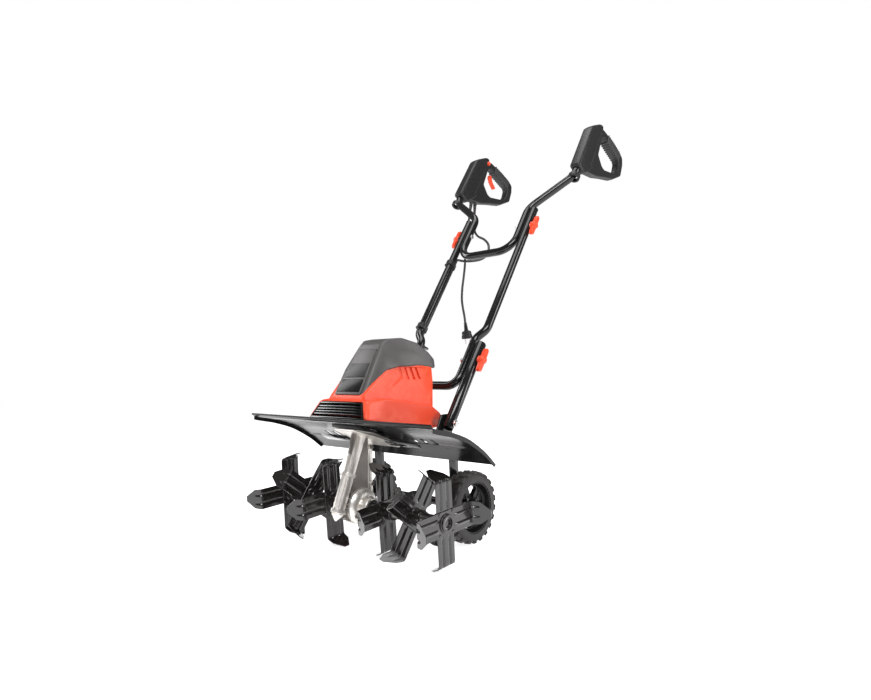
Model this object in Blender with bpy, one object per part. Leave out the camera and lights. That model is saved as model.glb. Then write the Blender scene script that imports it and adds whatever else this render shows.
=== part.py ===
"""Electric garden tiller, modelled piece by piece.

Metres, +Z up. +X is the machine's left, -Y is forward, the handle leans back
towards +Y. Pieces are laid out from the point on the ground below the tine
shaft, and the whole machine is then moved back to stand centred on the origin.
"""
import math

import bmesh
import bpy
from mathutils import Matrix, Vector

# ---- driving dimensions -------------------------------------------------
CENTRE_Y = 0.42525           # from the tine shaft to the middle of the machine
GAP = 0.0003                 # between touching pieces

TINE_Z = 0.0985              # tine shaft above the ground
TINE_BEND_R = 0.0785         # where each blade is bent
BLADE_WIDTH = 0.044
BLADE_THICK = 0.003
TIP_ANGLE = math.radians(64) # bend of the blade tips out of the star's plane
TIP_SHOULDER = 0.020
TIP_LENGTH = 0.042
STAR_X = (0.243, 0.164, 0.086)
SHAFT_R = 0.0115
HUB_R = 0.0165
HUB_HALF = 0.022

WHEEL_Y = 0.182
WHEEL_R = 0.080
WHEEL_X = (0.137, 0.178)     # inner and outer face
AXLE_R = 0.006

LEAN = math.radians(36.0)    # handle, back from upright
PIVOT = Vector((0.0, 0.180, 0.262))
TUBE_X = 0.113
TUBE_R = 0.01065
TUBE_WALL = 0.0015
LOW_TUBE_R = 0.0127
LOW_TUBE_TOP = 0.224         # distances along the handle from the bracket bolt
LOW_KNOB = 0.173
LOW_CROSS = 0.100
JOG = (0.238, 0.264)
MID_TOP = 0.680
UP_CROSS = 0.535
UP_KNOB = 0.6156
SLEEVE_START = 0.812
TUBE_END = 0.925
GRIP_X = 0.206
INNER_MID_X = TUBE_X - LOW_TUBE_R - TUBE_R - 0.0008
INNER_UP_X = TUBE_X - 2 * TUBE_R - 0.0008

FENDER_FRONT_HALF = 0.282
FENDER_REAR_HALF = 0.275
FENDER_THICK = 0.0018

WORM_TOP = Vector((0.0, 0.0135, 0.260))     # a point on the motor and worm axis
WORM_DIR = Vector((0.0, 0.3354, 0.9421)).normalized()
MOTOR_R = 0.034

LEAD_R = 0.0036

ALONG = Vector((0.0, math.sin(LEAN), math.cos(LEAN)))
BACK = Vector((0.0, math.cos(LEAN), -math.sin(LEAN)))


def on_handle(x, along, back=0.0):
    """A point on the leaning handle: across, along it, and behind it."""
    return Vector((x, 0.0, 0.0)) + PIVOT + ALONG * along + BACK * back


# ---- scene and materials -------------------------------------------------
for old in list(bpy.data.objects):
    bpy.data.objects.remove(old, do_unlink=True)


def material(name, colour, roughness, metallic=0.0):
    mat = bpy.data.materials.new(name)
    mat.use_nodes = True
    shader = mat.node_tree.nodes["Principled BSDF"]
    shader.inputs["Base Color"].default_value = (*colour, 1.0)
    shader.inputs["Roughness"].default_value = roughness
    shader.inputs["Metallic"].default_value = metallic
    return mat


RED = material("red_plastic", (0.78, 0.05, 0.02), 0.35)
GREY = material("grey_plastic", (0.07, 0.065, 0.065), 0.55)
BLACK_PLASTIC = material("black_plastic", (0.02, 0.02, 0.02), 0.5)
BLACK_GLOSS = material("black_gloss_paint", (0.01, 0.01, 0.01), 0.15)
TINE_PAINT = material("tine_paint", (0.012, 0.012, 0.013), 0.3)
CAST = material("cast_aluminium", (0.62, 0.62, 0.62), 0.4, 1.0)
STEEL = material("steel", (0.5, 0.5, 0.5), 0.3, 1.0)
BRASS = material("bronze", (0.6, 0.4, 0.18), 0.35, 1.0)
RUBBER = material("rubber", (0.02, 0.02, 0.02), 0.8)
COPPER = material("winding", (0.5, 0.22, 0.08), 0.4, 1.0)


# ---- modelling helpers -----------------------------------------------------
def finish(name, bm, mat, origin=(0, 0, 0), smooth=30.0):
    """Turn a bmesh made in machine coordinates into an object with this origin."""
    bmesh.ops.remove_doubles(bm, verts=bm.verts, dist=1e-6)
    bmesh.ops.recalc_face_normals(bm, faces=bm.faces)
    origin = Vector(origin)
    bmesh.ops.translate(bm, verts=bm.verts, vec=-origin)
    mesh = bpy.data.meshes.new(name)
    bm.to_mesh(mesh)
    bm.free()
    mesh.shade_smooth()
    mesh.set_sharp_from_angle(angle=math.radians(smooth))
    mesh.materials.append(mat)
    obj = bpy.data.objects.new(name, mesh)
    bpy.context.scene.collection.objects.link(obj)
    obj.location = origin - Vector((0.0, CENTRE_Y, 0.0))
    return obj


def cutter(name, bm):
    obj = finish(name, bm, STEEL)
    obj.hide_render = True
    obj.display_type = "WIRE"
    return obj


def combine(obj, other, operation):
    modifier = obj.modifiers.new(operation.title(), "BOOLEAN")
    modifier.operation = operation
    modifier.solver = "EXACT"
    modifier.object = other


def prism(outline, widths):
    """A side-view outline of (y, z) points, given its own half width at each point."""
    bm = bmesh.new()
    if not hasattr(widths, "__len__"):
        widths = [widths] * len(outline)
    left = [bm.verts.new((w, y, z)) for (y, z), w in zip(outline, widths)]
    right = [bm.verts.new((-w, y, z)) for (y, z), w in zip(outline, widths)]
    bm.faces.new(left)
    bm.faces.new(right[::-1])
    count = len(outline)
    for i in range(count):
        j = (i + 1) % count
        bm.faces.new((left[i], right[i], right[j], left[j]))
    bmesh.ops.triangulate(bm, faces=[f for f in bm.faces if len(f.verts) > 4])
    return bm


def plate(outline, x0, x1):
    """A side-view outline of (y, z) points between two stations across the machine."""
    bm = prism(outline, (x1 - x0) / 2)
    bmesh.ops.translate(bm, verts=bm.verts, vec=((x0 + x1) / 2, 0, 0))
    return bm


def frame_for(axis):
    axis = axis.normalized()
    side = Vector((1, 0, 0)) if abs(axis.x) < 0.9 else Vector((0, 1, 0))
    across = (side - axis * side.dot(axis)).normalized()
    return across, axis.cross(across)


def turned(start, axis, profile, sides=24, bm=None):
    """Turn (distance along, radius) points about an axis; the ends close at radius 0
    or, where the profile comes back to its start, it is a ring."""
    bm = bm or bmesh.new()
    axis = Vector(axis).normalized()
    across, other = frame_for(axis)
    start = Vector(start)
    loops = []
    for distance, radius in profile:
        centre = start + axis * distance
        if radius < 1e-6:
            loops.append([bm.verts.new(centre)])
            continue
        loop = []
        for i in range(sides):
            angle = 2 * math.pi * (i + 0.5) / sides
            loop.append(bm.verts.new(
                centre + (across * math.cos(angle) + other * math.sin(angle)) * radius))
        loops.append(loop)
    pairs = list(zip(loops, loops[1:]))
    if len(loops[0]) > 1:
        pairs.append((loops[-1], loops[0]))
    for a, b in pairs:
        for i in range(sides):
            j = (i + 1) % sides
            if len(a) == 1:
                bm.faces.new((a[0], b[j], b[i]))
            elif len(b) == 1:
                bm.faces.new((a[i], a[j], b[0]))
            else:
                bm.faces.new((a[i], a[j], b[j], b[i]))
    return bm


def rod(start, end, radius, sides=16, bm=None):
    start = Vector(start)
    end = Vector(end)
    length = (end - start).length
    return turned(start, end - start, [(0, 0), (0, radius), (length, radius), (length, 0)],
                  sides, bm)


def ring(start, axis, length, inner, outer, sides=24):
    return turned(start, axis, [(0, inner), (0, outer), (length, outer), (length, inner)], sides)


def filleted(points, radius, step=math.radians(15)):
    """Round the corners of a route with arcs of this radius."""
    points = [Vector(p) for p in points]
    route = [points[0]]
    for before, corner, after in zip(points, points[1:], points[2:]):
        a = (before - corner).normalized()
        b = (after - corner).normalized()
        turn = math.pi - a.angle(b)
        reach = radius * math.tan(turn / 2)
        centre = corner + (a + b).normalized() * (radius / math.cos(turn / 2))
        first = corner + a * reach - centre
        axis = first.cross(corner + b * reach - centre).normalized()
        count = max(2, round(turn / step))
        for i in range(count + 1):
            angle = turn * i / count
            route.append(centre + first * math.cos(angle) + axis.cross(first) * math.sin(angle))
    route.append(points[-1])
    return route


def sweep(route, radius, sides=12):
    """A round bar along a route, with flat ends."""
    bm = bmesh.new()
    loops = []
    tangents = []
    for i, point in enumerate(route):
        ahead = route[min(i + 1, len(route) - 1)] - point
        behind = point - route[max(i - 1, 0)]
        tangents.append((ahead.normalized() + behind.normalized()).normalized())
    across, _ = frame_for(tangents[0])
    for point, tangent in zip(route, tangents):
        across = (across - tangent * across.dot(tangent)).normalized()
        other = tangent.cross(across)
        loops.append([
            bm.verts.new(point + (across * math.cos(2 * math.pi * i / sides)
                                  + other * math.sin(2 * math.pi * i / sides)) * radius)
            for i in range(sides)])
    for a, b in zip(loops, loops[1:]):
        for i in range(sides):
            j = (i + 1) % sides
            bm.faces.new((a[i], a[j], b[j], b[i]))
    bm.faces.new(loops[0][::-1])
    bm.faces.new(loops[-1])
    return bm


def cord(name, points, radius):
    """A cord as a bevelled curve along a smooth line through the points."""
    points = [Vector(p) for p in points]
    fine = []
    for i in range(len(points) - 1):
        before = points[max(i - 1, 0)]
        start = points[i]
        end = points[i + 1]
        after = points[min(i + 2, len(points) - 1)]
        for k in range(8):
            t = k / 8
            fine.append(0.5 * ((2 * start) + (end - before) * t
                               + (2 * before - 5 * start + 4 * end - after) * t * t
                               + (3 * start - before - 3 * end + after) * t ** 3))
    fine.append(points[-1])
    spacing = radius * 5
    route = [fine[0]]
    for point in fine[1:-1]:
        if (point - route[-1]).length >= spacing:
            route.append(point)
    if (fine[-1] - route[-1]).length < spacing * 0.6:
        route.pop()
    route.append(fine[-1])
    curve = bpy.data.curves.new(name, "CURVE")
    curve.dimensions = "3D"
    curve.bevel_depth = radius
    curve.bevel_resolution = 2
    curve.use_fill_caps = True
    spline = curve.splines.new("POLY")
    spline.points.add(len(route) - 1)
    for slot, point in zip(spline.points, route):
        slot.co = (point.x, point.y - CENTRE_Y, point.z, 1.0)
    curve.materials.append(RUBBER)
    obj = bpy.data.objects.new(name, curve)
    bpy.context.scene.collection.objects.link(obj)
    return obj


# ---- fender ------------------------------------------------------------------
FENDER_PROFILE = [(-0.077, 0.2945), (-0.071, 0.288), (-0.042, 0.2805), (-0.014, 0.2735),
                  (0.034, 0.256), (0.079, 0.230), (0.104, 0.2115), (0.125, 0.193)]
FENDER_FLANGE = 0.009


def make_fender():
    bm = bmesh.new()
    rows = []
    last = len(FENDER_PROFILE) - 1
    for i, (y, z) in enumerate(FENDER_PROFILE):
        half = FENDER_FRONT_HALF + (FENDER_REAR_HALF - FENDER_FRONT_HALF) * i / last
        drop = FENDER_FLANGE if 0 < i < last else 0.002
        stations = [(-half, z - drop), (-half + 0.006, z), (half - 0.006, z), (half, z - drop)]
        rows.append([bm.verts.new((x, y, height)) for x, height in stations])
    for a, b in zip(rows, rows[1:]):
        for i in range(3):
            bm.faces.new((a[i], a[i + 1], b[i + 1], b[i]))
    for face in bm.faces:
        face.normal_update()
        if face.normal.z < 0:
            face.normal_flip()
    fender = finish("fender", bm, BLACK_GLOSS)
    solid = fender.modifiers.new("Solidify", "SOLIDIFY")
    solid.thickness = FENDER_THICK
    solid.offset = 0.0
    neck = cutter("fender_neck_cut", plate([(-0.036, 0.35), (-0.036, 0.2), (0.052, 0.2),
                                            (0.052, 0.35)], -0.036, 0.036))
    combine(fender, neck, "DIFFERENCE")


# ---- housing, cover, grille ------------------------------------------------------
COVER_OUTLINE = [(-0.013, 0.336, 0.060), (0.045, 0.447, 0.047), (0.062, 0.456, 0.052),
                 (0.100, 0.459, 0.058), (0.140, 0.447, 0.062), (0.172, 0.425, 0.066),
                 (0.188, 0.408, 0.068), (0.188, 0.386, 0.070), (0.172, 0.389, 0.071),
                 (0.130, 0.394, 0.072), (0.065, 0.394, 0.072), (0.037, 0.388, 0.071)]
BODY_OUTLINE = [(-0.0125, 0.3355, 0.060), (0.037, 0.3875, 0.0715), (0.065, 0.3935, 0.0725),
                (0.130, 0.3935, 0.0725), (0.172, 0.3885, 0.0715), (0.165, 0.296, 0.078),
                (-0.020, 0.312, 0.070), (-0.030, 0.328, 0.066)]
BASE_OUTLINE = [(-0.038, 0.3285, 0.076), (0.016, 0.3285, 0.088), (0.150, 0.303, 0.092),
                (0.188, 0.284, 0.084), (0.196, 0.270, 0.080), (0.196, 0.2515, 0.080),
                (0.066, 0.2515, 0.094), (0.034, 0.2610, 0.094), (-0.014, 0.2785, 0.095),
                (-0.040, 0.2850, 0.096), (-0.058, 0.2905, 0.096)]
CAVITY_OUTLINE = [(-0.010, 0.420, 0.050), (0.168, 0.420, 0.066), (0.161, 0.300, 0.074),
                  (0.183, 0.272, 0.076), (0.186, 0.240, 0.076), (-0.060, 0.240, 0.086),
                  (-0.040, 0.300, 0.082), (-0.022, 0.3235, 0.050)]
COVER_CAVITY = [(-0.006, 0.330, 0.054), (0.048, 0.440, 0.041), (0.064, 0.4515, 0.048),
                (0.100, 0.4545, 0.054), (0.138, 0.4430, 0.058), (0.169, 0.4215, 0.062),
                (0.1835, 0.406, 0.064), (0.1835, 0.380, 0.066), (0.172, 0.340, 0.067),
                (0.065, 0.340, 0.067)]
GRILLE_FACE = [(-0.0405, 0.3235), (-0.0560, 0.2925)]


def widths_of(outline):
    return [(y, z) for y, z, w in outline], [w for y, z, w in outline]


def make_housing():
    housing = finish("motor_housing", prism(*widths_of(BASE_OUTLINE)), RED)
    body = cutter("housing_body_join", prism(*widths_of(BODY_OUTLINE)))
    combine(housing, body, "UNION")
    combine(housing, cutter("housing_cavity_cut", prism(*widths_of(CAVITY_OUTLINE))), "DIFFERENCE")
    cover = finish("top_cover", prism(*widths_of(COVER_OUTLINE)), GREY)
    combine(cover, cutter("cover_cavity_cut", prism(*widths_of(COVER_CAVITY))), "DIFFERENCE")
    make_grille(housing)


def make_grille(housing):
    """A slatted plate let into the sloping front of the base."""
    (top_y, top_z), (low_y, low_z) = GRILLE_FACE
    face = Vector((0, low_y - top_y, low_z - top_z))
    down = face.normalized()
    inward = Vector((0, -down.z, down.y))
    top = Vector((0, top_y, top_z))

    def panel(x_half_top, x_half_low, start, end, near, far):
        bm = bmesh.new()
        corners = []
        for depth in (near, far):
            for distance, half in ((start, x_half_top), (end, x_half_low)):
                for sign in (-1, 1):
                    spot = top + down * distance + inward * depth
                    corners.append(bm.verts.new((sign * half, spot.y, spot.z)))
        for face_ids in ((0, 1, 3, 2), (4, 6, 7, 5), (0, 4, 5, 1), (2, 3, 7, 6), (0, 2, 6, 4),
                         (1, 5, 7, 3)):
            bm.faces.new([corners[i] for i in face_ids])
        return bm

    height = face.length
    opening = cutter("grille_opening_cut", panel(0.068, 0.086, 0.0, height, -0.012, 0.030))
    combine(housing, opening, "DIFFERENCE")
    grille = finish("front_grille", panel(0.068 - GAP, 0.086 - GAP, GAP, height - GAP,
                                          0.0012, 0.0052), BLACK_PLASTIC)
    slots = 5
    pitch = (height - 0.005) / slots
    for i in range(slots):
        start = 0.0035 + pitch * i
        slot = panel(0.062 + 0.0033 * i, 0.065 + 0.0033 * i, start, start + pitch * 0.52,
                     -0.010, 0.020)
        combine(grille, cutter("grille_slot_%d_cut" % (i + 1), slot), "DIFFERENCE")


# ---- gear case, shaft and stars ------------------------------------------------------
SHAFT_AXIS = Vector((0.0, 0.0, TINE_Z))
CASE_OUTLINE = [(-0.026, 0.292), (0.042, 0.292), (0.042, 0.258), (0.032, 0.234), (0.032, 0.172),
                (0.037, 0.138), (0.0400, 0.108), (0.0385, 0.086), (0.028, 0.069),
                (0.012, 0.0590), (-0.010, 0.0575), (-0.040, 0.0600), (-0.060, 0.0660),
                (-0.072, 0.0930), (-0.056, 0.120), (-0.040, 0.155), (-0.034, 0.200),
                (-0.026, 0.256)]
CASE_HALF = 0.027
BOSS_END = 0.044
BEARING_R = 0.0175


def worm_point(distance):
    return WORM_TOP + WORM_DIR * distance


def make_gear_case():
    wheel_room = cutter("worm_wheel_room_cut", rod((-0.0125, 0, TINE_Z), (0.0125, 0, TINE_Z),
                                                   0.0345, 32))
    worm_room = cutter("worm_room_cut", rod(worm_point(-0.190), worm_point(0.09), 0.0135, 20))
    for side, sign in (("left", 1), ("right", -1)):
        near, far = sorted((sign * GAP / 2, sign * CASE_HALF))
        half = finish("gear_case_" + side, plate(CASE_OUTLINE, near, far), CAST)
        boss = rod((sign * (CASE_HALF - 0.004), 0, TINE_Z), (sign * BOSS_END, 0, TINE_Z), 0.0235, 24)
        combine(half, cutter("case_boss_%s_join" % side, boss), "UNION")
        seat = [(0, 0), (0, SHAFT_R + 0.0006), (0.034, SHAFT_R + 0.0006), (0.034, BEARING_R + GAP),
                (0.06, BEARING_R + GAP), (0.06, 0)]
        seat = turned((-sign * 0.001, 0, TINE_Z), (sign, 0, 0), seat, 24)
        combine(half, wheel_room, "DIFFERENCE")
        combine(half, worm_room, "DIFFERENCE")
        combine(half, cutter("bearing_seat_%s_cut" % side, seat), "DIFFERENCE")
        finish("shaft_bearing_" + side,
               ring((sign * (0.033 + GAP), 0, TINE_Z), (sign, 0, 0), 0.009,
                    SHAFT_R + GAP, BEARING_R), STEEL, SHAFT_AXIS)


def make_star(name, x, tip_side, phase):
    """A pressed cross of four blades welded to its hub sleeve. The tips are bent
    alternately to the two sides."""
    bm = bmesh.new()
    half = BLADE_WIDTH / 2
    hole = 0.0135
    sides = 16
    loop = []
    for i in range(sides):
        angle = 2 * math.pi * i / sides
        loop.append(bm.verts.new((0, hole * math.cos(angle), hole * math.sin(angle))))
    corners = [bm.verts.new((0, half * a, half * b)) for a, b in
               ((1, 1), (-1, 1), (-1, -1), (1, -1))]
    for k in range(4):
        start = 2 + 4 * k
        for i in range(4):
            bm.faces.new((loop[(start + i) % sides], loop[(start + i + 1) % sides],
                          corners[(k + 1) % 4] if i >= 2 else corners[k]))
        bm.faces.new((loop[(start + 2) % sides], corners[(k + 1) % 4], corners[k]))
    for k in range(4):
        out = Vector((0, math.cos(math.pi / 2 * (k + 1)), math.sin(math.pi / 2 * (k + 1))))
        wide = Vector((0, -out.z, out.y))
        a = corners[k]
        b = corners[(k + 1) % 4]
        if (b.co - a.co).dot(wide) < 0:
            wide = -wide
        side = tip_side * (1 if k % 2 == 0 else -1)
        bend = out * math.cos(TIP_ANGLE) + Vector((side * math.sin(TIP_ANGLE), 0, 0))
        base = out * TINE_BEND_R
        row = [bm.verts.new(base - wide * half), bm.verts.new(base + wide * half)]
        shoulder = [bm.verts.new(base + bend * TIP_SHOULDER - wide * half * 0.92),
                    bm.verts.new(base + bend * TIP_SHOULDER + wide * half * 0.92)]
        point = [bm.verts.new(base + bend * TIP_LENGTH - wide * half * 0.30),
                 bm.verts.new(base + bend * TIP_LENGTH + wide * half * 0.30)]
        bm.faces.new((a, b, row[1], row[0]))
        bm.faces.new((row[0], row[1], shoulder[1], shoulder[0]))
        bm.faces.new((shoulder[0], shoulder[1], point[1], point[0]))
    bmesh.ops.rotate(bm, verts=bm.verts, cent=(0, 0, 0),
                     matrix=Matrix.Rotation(phase, 3, "X"))
    bmesh.ops.translate(bm, verts=bm.verts, vec=(x, 0, TINE_Z))
    star = finish(name, bm, TINE_PAINT, SHAFT_AXIS)
    solid = star.modifiers.new("Solidify", "SOLIDIFY")
    solid.thickness = BLADE_THICK
    solid.offset = 0.0
    sleeve = cutter(name + "_sleeve_join",
                    ring((x - HUB_HALF, 0, TINE_Z), (1, 0, 0), 2 * HUB_HALF,
                         SHAFT_R + GAP, HUB_R))
    combine(star, sleeve, "UNION")
    return star


STAR_PHASES = [math.radians(a) for a in (5, -38, 3)]


def make_tines():
    shaft_half = STAR_X[0] + HUB_HALF - 0.002
    shaft = finish("tine_shaft", rod((-shaft_half, 0, TINE_Z), (shaft_half, 0, TINE_Z), SHAFT_R, 24),
                   STEEL, SHAFT_AXIS)
    number = 1
    for sign, side in ((1, "left"), (-1, "right")):
        pin_x = sign * (STAR_X[0] - HUB_HALF + 0.009)
        hole = cutter("pin_hole_%s_cut" % side,
                      rod((pin_x, 0, TINE_Z - 0.03), (pin_x, 0, TINE_Z + 0.03), 0.0028, 12))
        combine(shaft, hole, "DIFFERENCE")
        for x, phase in zip(STAR_X, STAR_PHASES):
            star = make_star("tine_star_%d" % number, sign * x, -sign, phase)
            if x == STAR_X[0]:
                combine(star, hole, "DIFFERENCE")
            number += 1
        finish("retaining_pin_" + side, rod((pin_x, 0, TINE_Z - 0.0235), (pin_x, 0, TINE_Z + 0.0235),
                                            0.0025, 10), STEEL, SHAFT_AXIS)
    make_worm_wheel()


def make_worm_wheel():
    teeth = 22
    half = 0.009
    loops = []
    bm = bmesh.new()
    for x in (-half, half):
        outer = []
        inner = []
        for i in range(teeth * 4):
            angle = 2 * math.pi * i / (teeth * 4)
            radius = 0.0310 if i % 4 in (1, 2) else 0.0280
            outer.append(bm.verts.new((x, radius * math.cos(angle), TINE_Z + radius * math.sin(angle))))
            bore = SHAFT_R + GAP + 0.0002
            inner.append(bm.verts.new((x, bore * math.cos(angle), TINE_Z + bore * math.sin(angle))))
        loops.append((outer, inner))
    (out_a, in_a), (out_b, in_b) = loops
    count = teeth * 4
    for i in range(count):
        j = (i + 1) % count
        bm.faces.new((out_a[i], out_a[j], out_b[j], out_b[i]))
        bm.faces.new((in_a[j], in_a[i], in_b[i], in_b[j]))
        bm.faces.new((out_a[j], out_a[i], in_a[i], in_a[j]))
        bm.faces.new((out_b[i], out_b[j], in_b[j], in_b[i]))
    finish("worm_wheel", bm, BRASS, SHAFT_AXIS)


# ---- motor -------------------------------------------------------------------------
SPINDLE_R = 0.006


def make_motor():
    origin = WORM_TOP
    finish("motor_stator", ring(worm_point(0.060), WORM_DIR, 0.054, 0.0272, MOTOR_R, 28), COPPER)
    profile = [(0, 0), (0, SPINDLE_R), (0.252, SPINDLE_R), (0.252, 0.0262), (0.296, 0.0262),
               (0.296, SPINDLE_R), (0.336, SPINDLE_R), (0.336, 0)]
    finish("armature", turned(worm_point(-0.187), WORM_DIR, profile, 24), STEEL, origin)
    thread = [(0, SPINDLE_R + GAP)]
    turns = 6
    pitch = 0.008
    for i in range(turns):
        thread += [(pitch * i, 0.0078), (pitch * (i + 0.3), 0.0100), (pitch * (i + 0.6), 0.0100)]
    thread += [(pitch * turns, 0.0078), (pitch * turns, SPINDLE_R + GAP)]
    finish("worm", turned(worm_point(-0.181), WORM_DIR, thread, 16), STEEL, origin)
    finish("worm_bearing", ring(worm_point(-0.020), WORM_DIR, 0.009, SPINDLE_R + GAP,
                                0.0135 - GAP, 20), STEEL)
    finish("motor_bearing", ring(worm_point(0.138), WORM_DIR, 0.007, SPINDLE_R + GAP, 0.012, 20),
           STEEL)
    make_fan(origin)


def make_fan(origin):
    """A bladed disc on the spindle."""
    blades = 9
    across, other = frame_for(WORM_DIR)
    bm = bmesh.new()
    count = blades * 4
    loops = []
    for distance in (0.121, 0.130):
        centre = worm_point(distance)
        outer = []
        inner = []
        for i in range(count):
            angle = 2 * math.pi * i / count
            ray = across * math.cos(angle) + other * math.sin(angle)
            outer.append(bm.verts.new(centre + ray * (0.029 if i % 4 in (1, 2) else 0.014)))
            inner.append(bm.verts.new(centre + ray * (SPINDLE_R + GAP + 0.0002)))
        loops.append((outer, inner))
    (out_a, in_a), (out_b, in_b) = loops
    for i in range(count):
        j = (i + 1) % count
        bm.faces.new((out_a[i], out_a[j], out_b[j], out_b[i]))
        bm.faces.new((in_a[j], in_a[i], in_b[i], in_b[j]))
        bm.faces.new((out_a[j], out_a[i], in_a[i], in_a[j]))
        bm.faces.new((out_b[i], out_b[j], in_b[j], in_b[i]))
    finish("cooling_fan", bm, BLACK_PLASTIC, origin)


# ---- brackets, wheel carrier, wheels -------------------------------------------------
BRACKET_X = (0.0952, 0.0992)
STRUT_X = (0.1180, 0.1220)
STRUT_PIVOT = Vector((0.0, 0.180, 0.222))
WHEEL_SIDES = 32
WHEEL_CENTRE = Vector((0.0, WHEEL_Y, WHEEL_R * math.cos(math.pi / WHEEL_SIDES)))
BRACKET_OUTLINE = [(0.118, 0.226), (0.150, 0.207), (0.195, 0.207), (0.206, 0.222), (0.206, 0.272),
                   (0.196, 0.282), (0.168, 0.282), (0.150, 0.248), (0.118, 0.243)]
BEAM_CENTRE = Vector((0.0, 0.138, 0.2335))


def make_brackets():
    beam = rod((-BRACKET_X[0] + GAP, *BEAM_CENTRE.yz), (BRACKET_X[0] - GAP, *BEAM_CENTRE.yz), 0.0095, 12)
    finish("bracket_beam", beam, BLACK_GLOSS)
    for side, sign in (("left", 1), ("right", -1)):
        near, far = sorted((sign * BRACKET_X[0], sign * BRACKET_X[1]))
        bracket = finish("handle_bracket_" + side, plate(BRACKET_OUTLINE, near, far), BLACK_GLOSS)
        pivot_y, pivot_z = PIVOT.yz
        strut_y, strut_z = STRUT_PIVOT.yz
        bolt_hole = cutter("bolt_hole_%s_cut" % side,
                           rod((sign * 0.08, pivot_y, pivot_z), (sign * 0.14, pivot_y, pivot_z),
                               0.0043, 12))
        pin_hole = cutter("carrier_hole_%s_cut" % side,
                          rod((sign * 0.08, strut_y, strut_z), (sign * 0.14, strut_y, strut_z),
                              0.0053, 12))
        combine(bracket, bolt_hole, "DIFFERENCE")
        combine(bracket, pin_hole, "DIFFERENCE")
        bolt = [(0, 0), (0, 0.0075), (0.005, 0.0075), (0.005, 0.004), (0.0415, 0.004),
                (0.0415, 0.008), (0.0465, 0.008), (0.0465, 0)]
        finish("bracket_bolt_" + side, turned((sign * 0.0888, pivot_y, pivot_z), (sign, 0, 0), bolt, 12),
               STEEL)
        pin = [(0, 0), (0, 0.008), (0.004, 0.008), (0.004, 0.005), (0.0335, 0.005),
               (0.0335, 0.0085), (0.0375, 0.0085), (0.0375, 0)]
        finish("carrier_pin_" + side, turned((sign * 0.0908, strut_y, strut_z), (sign, 0, 0), pin, 12),
               STEEL)
        make_lower_tube(side, sign, bolt_hole)


def make_lower_tube(side, sign, bolt_hole):
    start = on_handle(sign * TUBE_X, -0.013)
    end = on_handle(sign * TUBE_X, LOW_TUBE_TOP)
    length = LOW_TUBE_TOP + 0.013
    bore = LOW_TUBE_R - TUBE_WALL
    cap = [(length, 0), (length, LOW_TUBE_R - 0.004), (length - 0.004, LOW_TUBE_R), (0, LOW_TUBE_R),
           (0, bore), (length - 0.006, bore), (length - 2 * TUBE_WALL, 0)]
    tube = finish("lower_tube_" + side, turned(start, end - start, cap, 16), BLACK_GLOSS)
    knob = on_handle(sign * TUBE_X, LOW_KNOB)
    shank = cutter("low_knob_hole_%s_cut" % side,
                   rod((sign * 0.07, knob.y, knob.z), (sign * 0.14, knob.y, knob.z), 0.0035, 12))
    combine(tube, bolt_hole, "DIFFERENCE")
    combine(tube, shank, "DIFFERENCE")


def make_carrier():
    pivot_y, pivot_z = STRUT_PIVOT.yz
    y, z = WHEEL_CENTRE.yz
    half = 0.015
    outline = []
    for i in range(9):
        angle = math.pi * i / 8
        outline.append((pivot_y + 0.0115 * math.cos(angle), pivot_z + 0.0115 * math.sin(angle)))
    outline += [(pivot_y - half, pivot_z - 0.022)]
    for i in range(9):
        angle = math.pi + math.pi * i / 8
        outline.append((y + half * math.cos(angle), z + half * math.sin(angle)))
    outline += [(pivot_y + half, pivot_z - 0.022)]
    struts = []
    for sign in (1, -1):
        near, far = sorted((sign * STRUT_X[0], sign * STRUT_X[1]))
        struts.append(plate(outline, near, far))
    carrier = finish("wheel_carrier", struts[0], BLACK_GLOSS, STRUT_PIVOT)
    combine(carrier, cutter("carrier_strut_join", struts[1]), "UNION")
    tube = rod((-STRUT_X[0] - 0.002, y, z), (STRUT_X[0] + 0.002, y, z), 0.0095, 16)
    combine(carrier, cutter("carrier_tube_join", tube), "UNION")
    combine(carrier, cutter("carrier_axle_cut", rod((-0.2, y, z), (0.2, y, z), AXLE_R + GAP, 16)),
            "DIFFERENCE")
    for sign in (1, -1):
        combine(carrier, cutter("carrier_pivot_cut_%d" % (sign + 2),
                                rod((sign * 0.11, pivot_y, pivot_z), (sign * 0.13, pivot_y, pivot_z),
                                    0.0053, 12)), "DIFFERENCE")
    end = WHEEL_X[1] + 0.008
    profile = [(0, 0), (0, 0.009), (0.0065, 0.009), (0.0065, AXLE_R), (2 * end - 0.0065, AXLE_R),
               (2 * end - 0.0065, 0.009), (2 * end, 0.009), (2 * end, 0)]
    finish("wheel_axle", turned((-end, y, z), (1, 0, 0), profile, 16), STEEL, STRUT_PIVOT)


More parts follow.
